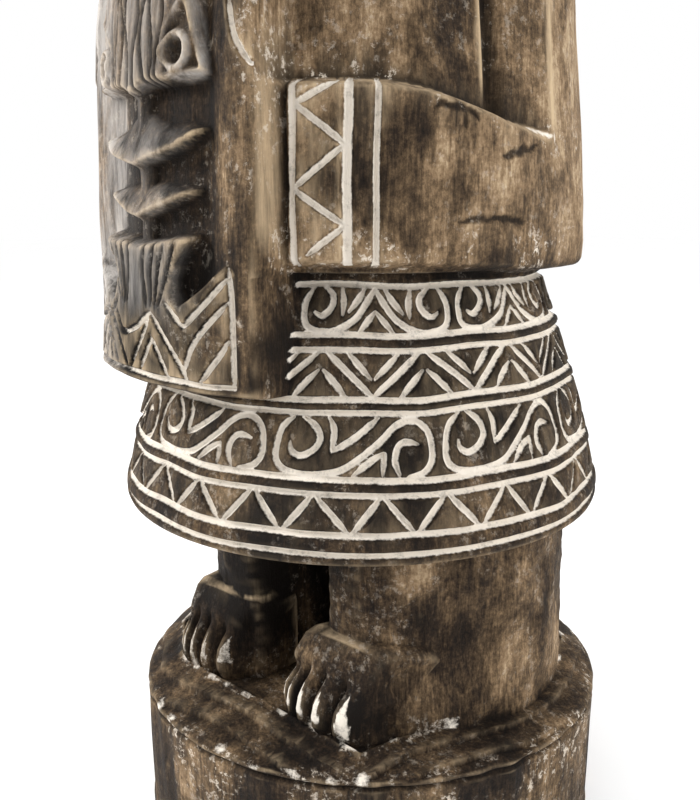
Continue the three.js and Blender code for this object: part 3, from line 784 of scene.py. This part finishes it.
def leg_core():
    """The wood left between the legs behind the gap: an upright oval."""
    angle, z = np.meshgrid(np.arange(0, 360, 4.0), np.arange(LEG_LOW, LEG_HIGH, 8.0))
    x = LEG_CORE_HALF_WIDTH * np.sin(np.radians(angle))
    y = LEG_CORE_BACK - LEG_CORE_HALF_DEPTH * np.cos(np.radians(angle))
    return solid_object("leg_core", placed_leg(np.stack([x, y, z], axis=-1)))


def toe_count(across):
    """Toes counted across a foot, each wider than the one before it."""
    return np.interp(across, TOE_EDGES, range(len(TOE_EDGES)))


def toe_crest(across):
    """1 along the middle of a toe, 0 in the cuts between toes."""
    return np.abs(np.sin(np.pi * toe_count(across))) ** 0.8


def foot_lean(reach, side):
    """How a foot narrows and turns in towards its toes: width share, sideways shift and forward shift."""
    lean = smooth(reach, 80, 138)
    if side > 0:
        return 1.08 - 0.14 * lean, 14 - 25 * lean, 5 * lean
    return 1 - 0.26 * lean, -9 * lean, 0 * lean


def foot(side):
    """A closed band of profiles side by side: instep, knuckle and toe tip, pulled in between the toes."""
    along = np.linspace(0, len(FOOT_REACH) - 1, 90)
    share_y = np.interp(along, range(len(FOOT_REACH)), FOOT_REACH)
    share_z = np.interp(along, range(len(FOOT_HEIGHT)), FOOT_HEIGHT)
    across = np.linspace(-0.995, 0.995, 121)[:, None]
    crest = toe_crest(across)
    toe = smooth(share_y, 110, 128) * smooth(share_z, 186, 168)
    outer = 9 * np.abs(across) ** 2.6 + 4 * (0.5 - 0.5 * side * across)
    depth = share_y[None] - toe * (7 * (1 - crest) + outer)
    top = share_z[None] - 5 * toe * (1 - crest) - 7 * np.abs(across) ** 3 * smooth(share_z, 150, 170)
    round_side = (1 - np.abs(across) ** 7) ** (1 / 7)
    width, shift, forward = foot_lean(depth, side)
    x = across * width * FOOT_WIDTH / 2 + side * FOOT_SIDE - FOOT_SHIFT + shift
    y = -(HEEL + (depth - HEEL) * round_side) - forward
    z = FOOT_MIDDLE_Z + (top - FOOT_MIDDLE_Z) * (0.45 + 0.55 * round_side)
    return solid_object("foot", placed_leg(np.stack([x, y, z], axis=-1)))


# Edge of the hollow in which the feet stand, as x and y on the base
STANDING = [
    (118, -124.5), (83, -128), (44, -134), (-8, -141), (-42, -146), (-77, -146), (-125, -115), (-158, -60),
    (-165, 0), (-150, 70), (-110, 125), (-50, 155), (15, 160), (75, 145), (127, 114), (148, 64), (152, 27),
    (151, -16), (140, -56), (124, -94),
]


def base_edge(angle):
    """Height of the base's rim, which tilts."""
    return BASE_EDGE_Z + BASE_TILT * np.cos(np.radians(angle - BASE_TILT_ANGLE))


def base_top(x, y):
    """Hewn top: chiselled strips rising from the rim to the lip round the feet, and the hollow inside it."""
    edge = base_edge(np.degrees(np.arctan2(x, -y)))
    inside = inside_outline(x, y, STANDING)
    out = np.maximum(-inside, 0)
    rim = np.maximum(BASE_RADIUS - np.hypot(x, y), 0)
    share = rim / np.maximum(rim + out, 0.1)
    strips = (out / 18 + 0.22 * uneven(x, y, 170, 52)) % 1.0 - 0.5
    strips = 3.6 * strips * smooth(out, 1, 6) * smooth(rim, 2, 7)
    hollow = 6 * smooth(inside, 0, 6)
    marks = 0.5 * uneven(x, 0.3 * y, 22, 53) - 1
    return edge + (BASE_TOP_Z - edge) * share ** 0.8 + strips - hollow + marks


def base():
    """A log: underside, upright side with a crack under the rim, and the hewn top."""
    angles = np.arange(0, 360, 0.6)
    edge = base_edge(angles)
    rows = [(np.full_like(angles, 60.0), 0 * angles), (np.full_like(angles, BASE_RADIUS - 2), 0 * angles)]
    for share in np.concatenate([np.linspace(0.01, 0.9, 36), np.linspace(0.91, 1, 14)]):
        depth = 1.6 + 0.7 * uneven(np.radians(angles) * BASE_RADIUS, 0.2 * share * edge, 26, 51)
        crack = 3.5 * bump(share * edge - edge + 4, 0, 1.6, 1)
        rows.append((BASE_RADIUS - smooth(share * edge, 0, 6) * (depth + crack), share * (edge - 1)))
    for radius in np.concatenate([np.arange(BASE_RADIUS - 2, 125, -1.2), np.arange(125, 20, -4.0)]):
        x = radius * np.sin(np.radians(angles))
        y = -radius * np.cos(np.radians(angles))
        rows.append((np.full_like(angles, radius), base_top(x, y)))
    radius = np.array([row[0] for row in rows])
    z = np.array([row[1] for row in rows])
    return solid_object("base", round_points(np.broadcast_to(angles, radius.shape), radius, z))


def finished_mesh(made):
    """The object's mesh with its modifiers applied."""
    graph = bpy.context.evaluated_depsgraph_get()
    return bpy.data.meshes.new_from_object(made.evaluated_get(graph))


def joined(first, others):
    """One closed skin round all the forms, thinned where it is flat."""
    for other in others:
        union = first.modifiers.new("join", "BOOLEAN")
        union.operation = "UNION"
        union.solver = "MANIFOLD"
        union.object = other
    first.data = finished_mesh(first)
    first.modifiers.clear()
    for other in others:
        bpy.data.objects.remove(other)
    first.data.calc_loop_triangles()
    thin = first.modifiers.new("thin", "DECIMATE")
    thin.ratio = min(1.0, TRIANGLES / len(first.data.loop_triangles))
    first.data = finished_mesh(first)
    first.modifiers.clear()
    first.data.name = "carved_wood"
    return first


def points_of(mesh):
    """The mesh's points as rows of x, y and z in metres."""
    points = np.empty(len(mesh.vertices) * 3)
    mesh.vertices.foreach_get("co", points)
    return points.reshape(-1, 3)


def kept_in_box(mesh):
    """Moves the few points that hand-made unevenness pushed out of the source's box back onto it."""
    points = np.clip(points_of(mesh), *[np.array(corner) for corner in cad_box])
    mesh.vertices.foreach_set("co", points.ravel())
    mesh.update()


def hollowness(mesh, points):
    """How far a point lies below its neighbours along its normal: positive in cuts, negative on edges."""
    normals = np.empty(len(points) * 3)
    mesh.vertices.foreach_get("normal", normals)
    normals = normals.reshape(-1, 3)
    edges = np.empty(len(mesh.edges) * 2, dtype=int)
    mesh.edges.foreach_get("vertices", edges)
    first, second = edges.reshape(-1, 2).T
    away = points[second] - points[first]
    away = away / np.maximum(np.linalg.norm(away, axis=1, keepdims=True), 1e-9)
    total = np.zeros(len(points))
    count = np.zeros(len(points))
    np.add.at(total, first, np.einsum("ij,ij->i", away, normals[first]))
    np.add.at(total, second, -np.einsum("ij,ij->i", away, normals[second]))
    np.add.at(count, edges, 1)
    bend = total / np.maximum(count, 1)
    for _ in range(2):
        around = np.zeros(len(points))
        np.add.at(around, first, bend[second])
        np.add.at(around, second, bend[first])
        bend = 0.5 * bend + 0.5 * around / np.maximum(count, 1)
    return bend


def store(mesh, name, values):
    """Keeps one value on each point of the mesh, for the material to read."""
    layer = mesh.attributes.new(name, "FLOAT", "POINT")
    layer.data.foreach_set("value", values.astype(np.float32))


def nail_paint(points):
    """Pale pointed nails, wide at the tip of each toe, from a point's place in the feet's own frame."""
    turn = math.radians(-LEG_TURN)
    x = points[:, 0] - FIGURE_X
    y = points[:, 1] - FIGURE_Y
    z = points[:, 2]
    foot_x = x * math.cos(turn) - y * math.sin(turn) - LEG_SHIFT + FOOT_SHIFT
    reach = -(x * math.sin(turn) + y * math.cos(turn))
    paint = np.zeros(len(points))
    for side in (-1, 1):
        width, shift, _ = foot_lean(reach, side)
        across = (foot_x - side * FOOT_SIDE - shift) / (width * FOOT_WIDTH / 2)
        toe = np.abs(toe_count(across) % 1.0 - 0.5)
        room = 0.27 * np.clip((172 - z) / 25, 0, 1)
        nail = smooth(room - toe, 0.0, 0.06) * smooth(z, 142, 147)
        nail = nail * (0.7 if side > 0 else 0.5)
        paint = np.maximum(paint, nail * (np.abs(across) < 0.95) * (reach > 115))
    return paint


def base_marks(points):
    """Shares of the lip round the feet, of the rim and of the dark crack under the rim."""
    x, y, z = points.T
    radius = np.hypot(x, y)
    edge = base_edge(np.degrees(np.arctan2(x, -y)))
    on_top = smooth(z, edge - 5, edge - 1) * smooth(z, BASE_TOP_Z + 11, BASE_TOP_Z + 5)
    lip = near(inside_outline(x, y, STANDING) + 1, 6) * on_top
    rim = smooth(radius, BASE_RADIUS - 13, BASE_RADIUS - 4) * on_top
    crack = near(z - edge + 4.5, 2.4) * (radius > BASE_RADIUS - 8)
    return lip, rim, crack


def regions(angle, z):
    """How far a point belongs to each part of the figure, from 0 to 1."""
    shield = smooth(SHIELD_HALF_ANGLE - np.abs(angle), 0, 1.5)
    shield = shield * between(z, SHIELD_LOW + 2, SHIELD_HIGH - 8, 4)
    return {
        "shield": shield,
        "skirt": smooth(z, WAIST_Z + 9, WAIST_Z - 1) * smooth(z, HEM_Z - 2, HEM_Z + 2) * (1 - shield),
        "arms": smooth(z, FOREARM_LOW - 10, FOREARM_LOW + 3) * smooth(z, CHIN_Z, CHIN_Z - 30) * (1 - shield),
        "legs": smooth(z, HEM_Z + 2, HEM_Z - 2) * smooth(z, BASE_TOP_Z - 7, BASE_TOP_Z + 7),
        "base": smooth(z, BASE_TOP_Z + 7, BASE_TOP_Z - 7),
        "head": smooth(z, CHIN_Z - 30, CHIN_Z),
    }


def lime_paint(points, angle, part, lip, rim):
    """White lime: in the cuts, thinner on the shield's right half, on nails, elbow edges and base edges."""
    z = points[:, 2]
    turn = np.abs(angle)
    cuts = np.where(z > HEM_Z + 1, np.minimum(1.5 * carved_lines(angle, z), 1), 0)
    cuts = cuts * (1 - 0.55 * part["shield"] * smooth(angle, 6, -10))
    patchy = 0.5 + 0.6 * uneven(points[:, 0], points[:, 1], 18, 64)
    edges = patchy * np.maximum(0.65 * lip, 0.55 * rim * smooth(angle, 70, 40))
    elbow = 0.6 * near(z - forearm_top(turn) + 1, 3.5) * between(turn, 88, 95, 5)
    return np.maximum.reduce([cuts, nail_paint(points), edges, elbow])


def wear_and_highlight_paint(points, angle, part, bend):
    """Stain rubbed off where the surface bends outwards; painted highlights along the forearms' top edges,
    the arms' front edges, the ridges before the creases, the shield's side edges and the insteps.
    """
    z = points[:, 2]
    turn = np.abs(angle)
    bent = smooth(-bend, 0.04, 0.24) * (1 - 0.75 * part["skirt"])
    # painted highlights along the forearm's top edge, the arm's front edge and the ridge before the crease
    top = near(z - forearm_top(turn) + 2, 5) * between(turn, 31, 92, 4)
    front = near(turn - ARM_EDGE, 1.8) * smooth(z, 548, 560)
    crease = near(turn - ARM_CREASE + 2.6, 1.6) * smooth(z, 562, 575)
    arms = 0.9 * np.maximum.reduce([top, front, crease]) * part["arms"]
    # a painted highlight along the shield's side edge
    strip = 0.75 * between(turn, 28.8, 29.5, 0.8) * between(z, 486, 570, 10)
    # a painted highlight along the ridge where the instep meets the leg
    instep = 0.8 * near(z - INSTEP_Z, 2.4) * smooth(FIGURE_Y - points[:, 1], 92, 100)
    instep = instep * smooth(angle, -60, -40) * part["legs"]
    return np.maximum.reduce([bent, arms, strip, instep])


def shade_and_crack_paint(angle, z, part, bend, lime):
    """Painted shade in hollows, in the creases before the upper arms, above the forearms, in the hair cuts
    and in the groove beside the shield; and the dark cracks and knots.
    """
    turn = np.abs(angle)
    top = forearm_top(turn)
    # painted shade in the crease before each upper arm and in the recess just above each forearm
    crease = near(turn - ARM_CREASE, 3) * smooth(z, 560, 570)
    above = smooth(z - top, 9, 1) * (z > top) * smooth(turn, 96, 90)
    hair = np.minimum(1.5 * mask_strands(angle, z), 1) * part["shield"]
    # painted shade where the surface bends inwards, with the crease, the recess and the hair cuts, kept off
    # the lime
    hollow = np.maximum.reduce([smooth(bend, 0.03, 0.22), part["arms"] * np.maximum(crease, above), hair])
    # painted shade in the groove between the shield's edge and the arm
    groove = bump(turn - SHIELD_HALF_ANGLE - 1.1, 0, 0.8, 1) * between(z, 480, 572, 9)
    return np.maximum.reduce([hollow * (1 - np.minimum(2 * lime, 1)), crack_marks(angle, z), groove])


# How light the stain is on each part
PART_TONES = {"skirt": 0.2, "legs": 0.34, "base": 0.36, "head": 0.42, "arms": 0.55, "shield": 0.2}


def stain_and_painted_light_tone(angle, z, part):
    """Lightness of the stain: a level for each part, changes within the parts, slow waves and patches;
    painted light and shade on the arms, the shield's sides and the legs.
    """
    turn = np.abs(angle)
    arc = np.radians(angle) * MEAN_RADIUS
    tone = sum(level * part[name] for name, level in PART_TONES.items())
    # painted light: the arms' outer sides lighter; painted shade: the set-back fronts of the upper arms
    # darker
    arms = 0.18 * smooth(turn, 92, 97) * smooth(turn, 152, 140)
    arms = arms - 0.1 * between(turn, 82, 91, 3) * smooth(z, 545, 560)
    # on the shield the raised mask is lighter, the bands at its sides are painted lighter lower down where
    # light falls on them, and the low panel is darker
    shield = 0.16 * mask_raise(angle, z) + 0.32 * smooth(turn, 17, 22) * smooth(z, 610, 540)
    shield = shield - 0.36 * smooth(z, 480, 466) * smooth(turn, 26, 24.5)
    # painted light on the near leg's outer side, painted shade on the front and far sides of the legs; the
    # feet lighter
    legs = 0.14 * smooth(angle, 50, 75) - 0.2 * smooth(angle, 66, 42) + 0.08 * smooth(z, 202, 188)
    hair = 0.14 * smooth(z, BAND_HIGH - 2, BAND_HIGH + 6)
    waves = 0.09 * uneven(arc, z, 150, 61) + 0.07 * uneven(arc, 0.6 * z, 60, 62)
    tone = tone + arms * part["arms"] + shield * part["shield"] + legs * part["legs"] - hair
    return tone + waves + stain_marks(angle, z)


def grey_wash_and_painted_light(angle, z, part):
    """Grey over the shield's right half, partly limewash and partly painted light; grey limewash on its
    mask, the eye rings and the eye rims.
    """
    # the shield's right half painted grey: partly limewash, partly painted light on the side the light falls
    # on
    half = 0.75 * smooth(angle, -6, -18)
    mask = 0.4 * mask_raise(angle, z) * smooth(angle, 18, 6) * smooth(z, 425, 450)
    eyes = np.maximum(0.9 * eye_ring(angle, z), 0.8 * eye_rims(angle, z))
    return part["shield"] * np.maximum(half + mask, eyes)


def loose_lime(angle, z, part, lip, rim):
    """How much loose lime is left: under and above the forearms, on the base's edges, beside the mask."""
    turn = np.abs(angle)
    arms = 0.9 * smooth(z, 496, 472) + 0.8 * near(z - forearm_top(turn), 14)
    base_edges = 0.75 * np.maximum(lip, rim) + 0.7 * part["base"] * smooth(z, 80, 100) * smooth(z, 122, 114)
    return 0.22 + arms * part["arms"] + base_edges + 0.4 * part["shield"] * smooth(turn, 22, 27)


def paint_wood(mesh):
    """Stores on each point the shares of lime, of wear and painted highlights, of painted shade and cracks,
    of the stain's lightness with painted light and shade, of limewash with painted light, and of flecks for
    the material.
    """
    points = points_of(mesh) / METRE
    z = points[:, 2]
    angle = np.degrees(np.arctan2(points[:, 0] - FIGURE_X, FIGURE_Y - points[:, 1]))
    bend = hollowness(mesh, points)
    part = regions(angle, z)
    lip, rim, crack = base_marks(points)
    lime = lime_paint(points, angle, part, lip, rim)
    layers = {
        "lime": lime,
        "wear_and_highlight": wear_and_highlight_paint(points, angle, part, bend),
        "painted_shade_and_cracks": np.maximum(shade_and_crack_paint(angle, z, part, bend, lime), crack),
        "tone": stain_and_painted_light_tone(angle, z, part),
        "limewash_and_painted_light": grey_wash_and_painted_light(angle, z, part),
        "fleck": loose_lime(angle, z, part, lip, rim),
    }
    for name, values in layers.items():
        store(mesh, name, np.clip(values, 0, 1))


def linear(colour):
    """A hex sRGB colour as linear red, green, blue and alpha."""
    parts = [int(colour[i:i + 2], 16) / 255 for i in (1, 3, 5)]
    return (*[part / 12.92 if part <= 0.04045 else ((part + 0.055) / 1.055) ** 2.4 for part in parts], 1.0)


def plug(tree, made, inputs):
    """Links the inputs of a node that come from another node, and sets the others."""
    for socket, source in inputs.items():
        if hasattr(source, "is_linked"):
            tree.links.new(source, made.inputs[socket])
        else:
            made.inputs[socket].default_value = source


def node(tree, kind, inputs, output=0, **settings):
    """Adds a node with its settings and inputs, and gives one of its outputs."""
    made = tree.nodes.new(kind)
    for name, value in settings.items():
        setattr(made, name, value)
    plug(tree, made, inputs)
    return made.outputs[output]


# Noises of the wood: stretch along the log, size in millimetres, detail, roughness, twist
NOISES = {
    "grain": (0.12, 2.2, 6.0, 0.7, 0.0),
    "patch": (0.6, 55.0, 8.0, 0.66, 0.7),
    "rubbed": (0.12, 16.0, 6.0, 0.7, 0.3),
    "pores": (1.0, 4.0, 7.0, 0.8, 0.0),
    "fleck": (1.0, 7.0, 7.0, 0.8, 0.0),
}
# How much each noise lightens and darkens the stain
STAIN_CHANGES = {"patch": 0.46, "rubbed": 0.2, "grain": 0.2, "pores": 0.26}
STAIN_COLOURS = ((0.0, "#120d09"), (0.25, "#2b2118"), (0.5, "#534331"), (0.75, "#836c52"), (1.0, "#b09a7c"))
# Layers over the stain: the paint, the range of the rubbed noise, the shares at its two ends, the colour
LAYERS = (
    # pale colour of rubbed edges and of painted highlights
    ("wear_and_highlight", 0.34, 0.58, 0.15, 1.0, "#bfa888"),
    # grey of limewash, and painted light on the shield's right half
    ("limewash_and_painted_light", 0.4, 0.6, 0.15, 1.0, "#c2bcb6"),
    # dark colour of painted shade in hollows, creases and cuts, and of the cracks and knots
    ("painted_shade_and_cracks", 0.3, 0.7, 0.85, 0.85, "#15100c"),
)
FLECK_COLOUR = "#d3c7b7"
LIME_COLOUR = "#e8dfd2"
# Most of a noise lies in the first range; the others are noise values at which something starts and ends
NOISE_RANGE = {1: 0.25, 2: 0.75}
FLECK_SPOTS = {1: 0.55, 2: 0.59}
FLECK_PLACES = {1: 0.47, 2: 0.55}
LIME_EDGE = {1: 0.38, 2: 0.62}
LIME_THIN = {1: 0.3, 2: 0.48, 3: 0.45, 4: 1.0}
LIME_RAGGED = 0.25
# Dry wood: roughness over the rubbed noise, typical index of refraction, little shine, depth of the grain
WOOD_ROUGHNESS = {1: 0.3, 2: 0.7, 3: 0.62, 4: 0.85}
WOOD_IOR = 1.5
WOOD_SHINE = 0.12
GRAIN_STRENGTH = 0.7
GRAIN_DEPTH = 2 * METRE
PAINTS = ("lime", "wear_and_highlight", "painted_shade_and_cracks", "tone", "limewash_and_painted_light", "fleck")


def wood_noises(tree):
    """The noises of the wood on object coordinates, by name."""
    place = node(tree, "ShaderNodeTexCoord", {}, "Object")
    made = {}
    for name, (stretch, size, detail, rough, twist) in NOISES.items():
        vector = node(tree, "ShaderNodeMapping", {0: place, 3: (1.0, 1.0, stretch)})
        settings = {"Vector": vector, "Scale": 1 / (size * METRE), "Detail": detail, "Roughness": rough}
        made[name] = node(tree, "ShaderNodeTexNoise", {**settings, "Distortion": twist})
    return made


def stain_colour(tree, tone, noise):
    """The stain's colour from its lightness, changed by the noises."""
    for name, amount in STAIN_CHANGES.items():
        change = node(tree, "ShaderNodeMapRange", {0: noise[name], **NOISE_RANGE, 3: -amount, 4: amount})
        tone = node(tree, "ShaderNodeMath", {0: tone, 1: change}, operation="ADD")
    colour = node(tree, "ShaderNodeValToRGB", {0: tone})
    elements = colour.node.color_ramp.elements
    while len(elements) < len(STAIN_COLOURS):
        elements.new(0.5)
    for element, (position, shade) in zip(elements, STAIN_COLOURS):
        element.position = position
        element.color = linear(shade)
    return colour


def lime_shares(tree, paint, noise):
    """Shares of loose flecks, where two noises meet, and of lime in the cuts, with a ragged edge."""
    spots = node(tree, "ShaderNodeMapRange", {0: noise["fleck"], **FLECK_SPOTS})
    places = node(tree, "ShaderNodeMapRange", {0: noise["patch"], **FLECK_PLACES})
    spots = node(tree, "ShaderNodeMath", {0: spots, 1: places}, operation="MULTIPLY")
    spots = node(tree, "ShaderNodeMath", {0: spots, 1: paint["fleck"]}, operation="MULTIPLY")
    ends = {3: -LIME_RAGGED, 4: LIME_RAGGED}
    ragged = node(tree, "ShaderNodeMapRange", {0: noise["pores"], **NOISE_RANGE, **ends})
    ragged = node(tree, "ShaderNodeMath", {0: paint["lime"], 1: ragged}, operation="ADD")
    filled = node(tree, "ShaderNodeMapRange", {0: ragged, **LIME_EDGE})
    left = node(tree, "ShaderNodeMapRange", {0: noise["fleck"], **LIME_THIN})
    filled = node(tree, "ShaderNodeMath", {0: filled, 1: left}, operation="MULTIPLY")
    return spots, filled


def stained_wood():
    """Stained and limewashed hardwood: dark brown stain rubbed back on the edges, upright grain,
    white lime left in the cuts and as flecks, dry and matt; with painted highlights on edges and painted
    shade in hollows, creases and cuts."""
    material = bpy.data.materials.new("stained_limewashed_wood")
    material.use_nodes = True
    tree = material.node_tree
    noise = wood_noises(tree)
    paint = {name: node(tree, "ShaderNodeAttribute", {}, "Fac", attribute_name=name) for name in PAINTS}
    colour = stain_colour(tree, paint["tone"], noise)
    shares = []
    for name, low, high, first, last, shade in LAYERS:
        broken = node(tree, "ShaderNodeMapRange", {0: noise["rubbed"], 1: low, 2: high, 3: first, 4: last})
        share = node(tree, "ShaderNodeMath", {0: paint[name], 1: broken}, operation="MULTIPLY")
        shares.append((share, shade))
    spots, filled = lime_shares(tree, paint, noise)
    for share, shade in (*shares, (spots, FLECK_COLOUR), (filled, LIME_COLOUR)):
        colour = node(tree, "ShaderNodeMix", {0: share, 6: colour, 7: linear(shade)}, 2, data_type="RGBA")
    height = node(tree, "ShaderNodeMath", {0: noise["grain"], 1: noise["pores"]}, operation="ADD")
    normal = node(tree, "ShaderNodeBump", {
        "Strength": GRAIN_STRENGTH, "Distance": GRAIN_DEPTH, "Height": height})
    rough = node(tree, "ShaderNodeMapRange", {0: noise["rubbed"], **WOOD_ROUGHNESS})
    plug(tree, tree.nodes["Principled BSDF"], {
        "Base Color": colour, "Roughness": rough, "Normal": normal,
        "IOR": WOOD_IOR, "Specular IOR Level": WOOD_SHINE})
    return material


def studio_floor():
    """White paper, uncoated and matt: a wide sheet that takes a soft shadow and has no shine."""
    material = bpy.data.materials.new("white_paper")
    material.use_nodes = True
    shader = material.node_tree.nodes["Principled BSDF"]
    shader.inputs["Base Color"].default_value = linear("#ffffff")
    shader.inputs["Roughness"].default_value = 0.9
    mesh = bpy.data.meshes.new("floor")
    corners = [(FLOOR_HALF * x, FLOOR_HALF * y, 0) for x, y in ((-1, -1), (1, -1), (1, 1), (-1, 1))]
    mesh.from_pydata(corners, [], [(0, 1, 2, 3)])
    mesh.materials.append(material)
    floor = bpy.data.objects.new("floor", mesh)
    bpy.context.collection.objects.link(floor)


def lamp(name, place, size, power):
    """A square soft light that faces the figure's middle."""
    light = bpy.data.lights.new(name, "AREA")
    light.size = size
    light.energy = power
    made = bpy.data.objects.new(name, light)
    made.location = place
    aim = np.array(LAMP_AIM) - np.array(place)
    tilt = math.acos(-aim[2] / np.linalg.norm(aim))
    made.rotation_euler = (tilt, 0, math.atan2(aim[0], -aim[1]) + math.pi)
    bpy.context.collection.objects.link(made)


def studio():
    """White room light, a large soft lamp from the front left and a weaker one from the right."""
    world = bpy.data.worlds.new("room")
    world.use_nodes = True
    world.node_tree.nodes["Background"].inputs[0].default_value = (1, 1, 1, 1)
    world.node_tree.nodes["Background"].inputs[1].default_value = 1.0
    bpy.context.scene.world = world
    lamp("front_lamp", *FRONT_LAMP)
    lamp("right_lamp", *RIGHT_LAMP)
    bpy.context.scene.view_settings.view_transform = "Standard"


def camera():
    """The photograph's view: close to the figure's left front, looking a little down."""
    lens = bpy.data.cameras.new("camera")
    lens.lens = CAMERA_LENS
    made = bpy.data.objects.new("camera", lens)
    made.location = CAMERA_PLACE
    made.rotation_euler = (math.radians(CAMERA_TILT), 0, math.radians(CAMERA_TURN))
    bpy.context.collection.objects.link(made)
    bpy.context.scene.camera = made


camera()
studio()
studio_floor()
figure = joined(upper_figure(), [leg(-1), leg(1), leg_core(), foot(-1), foot(1), base()])
figure.name = "carved_wood"
kept_in_box(figure.data)
paint_wood(figure.data)
figure.data.materials.clear()
figure.data.materials.append(stained_wood())
figure.data.shade_smooth()
figure.data.set_sharp_from_angle(angle=math.radians(SHARP_EDGE))
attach(figure, "root")
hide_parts("carved_figure")
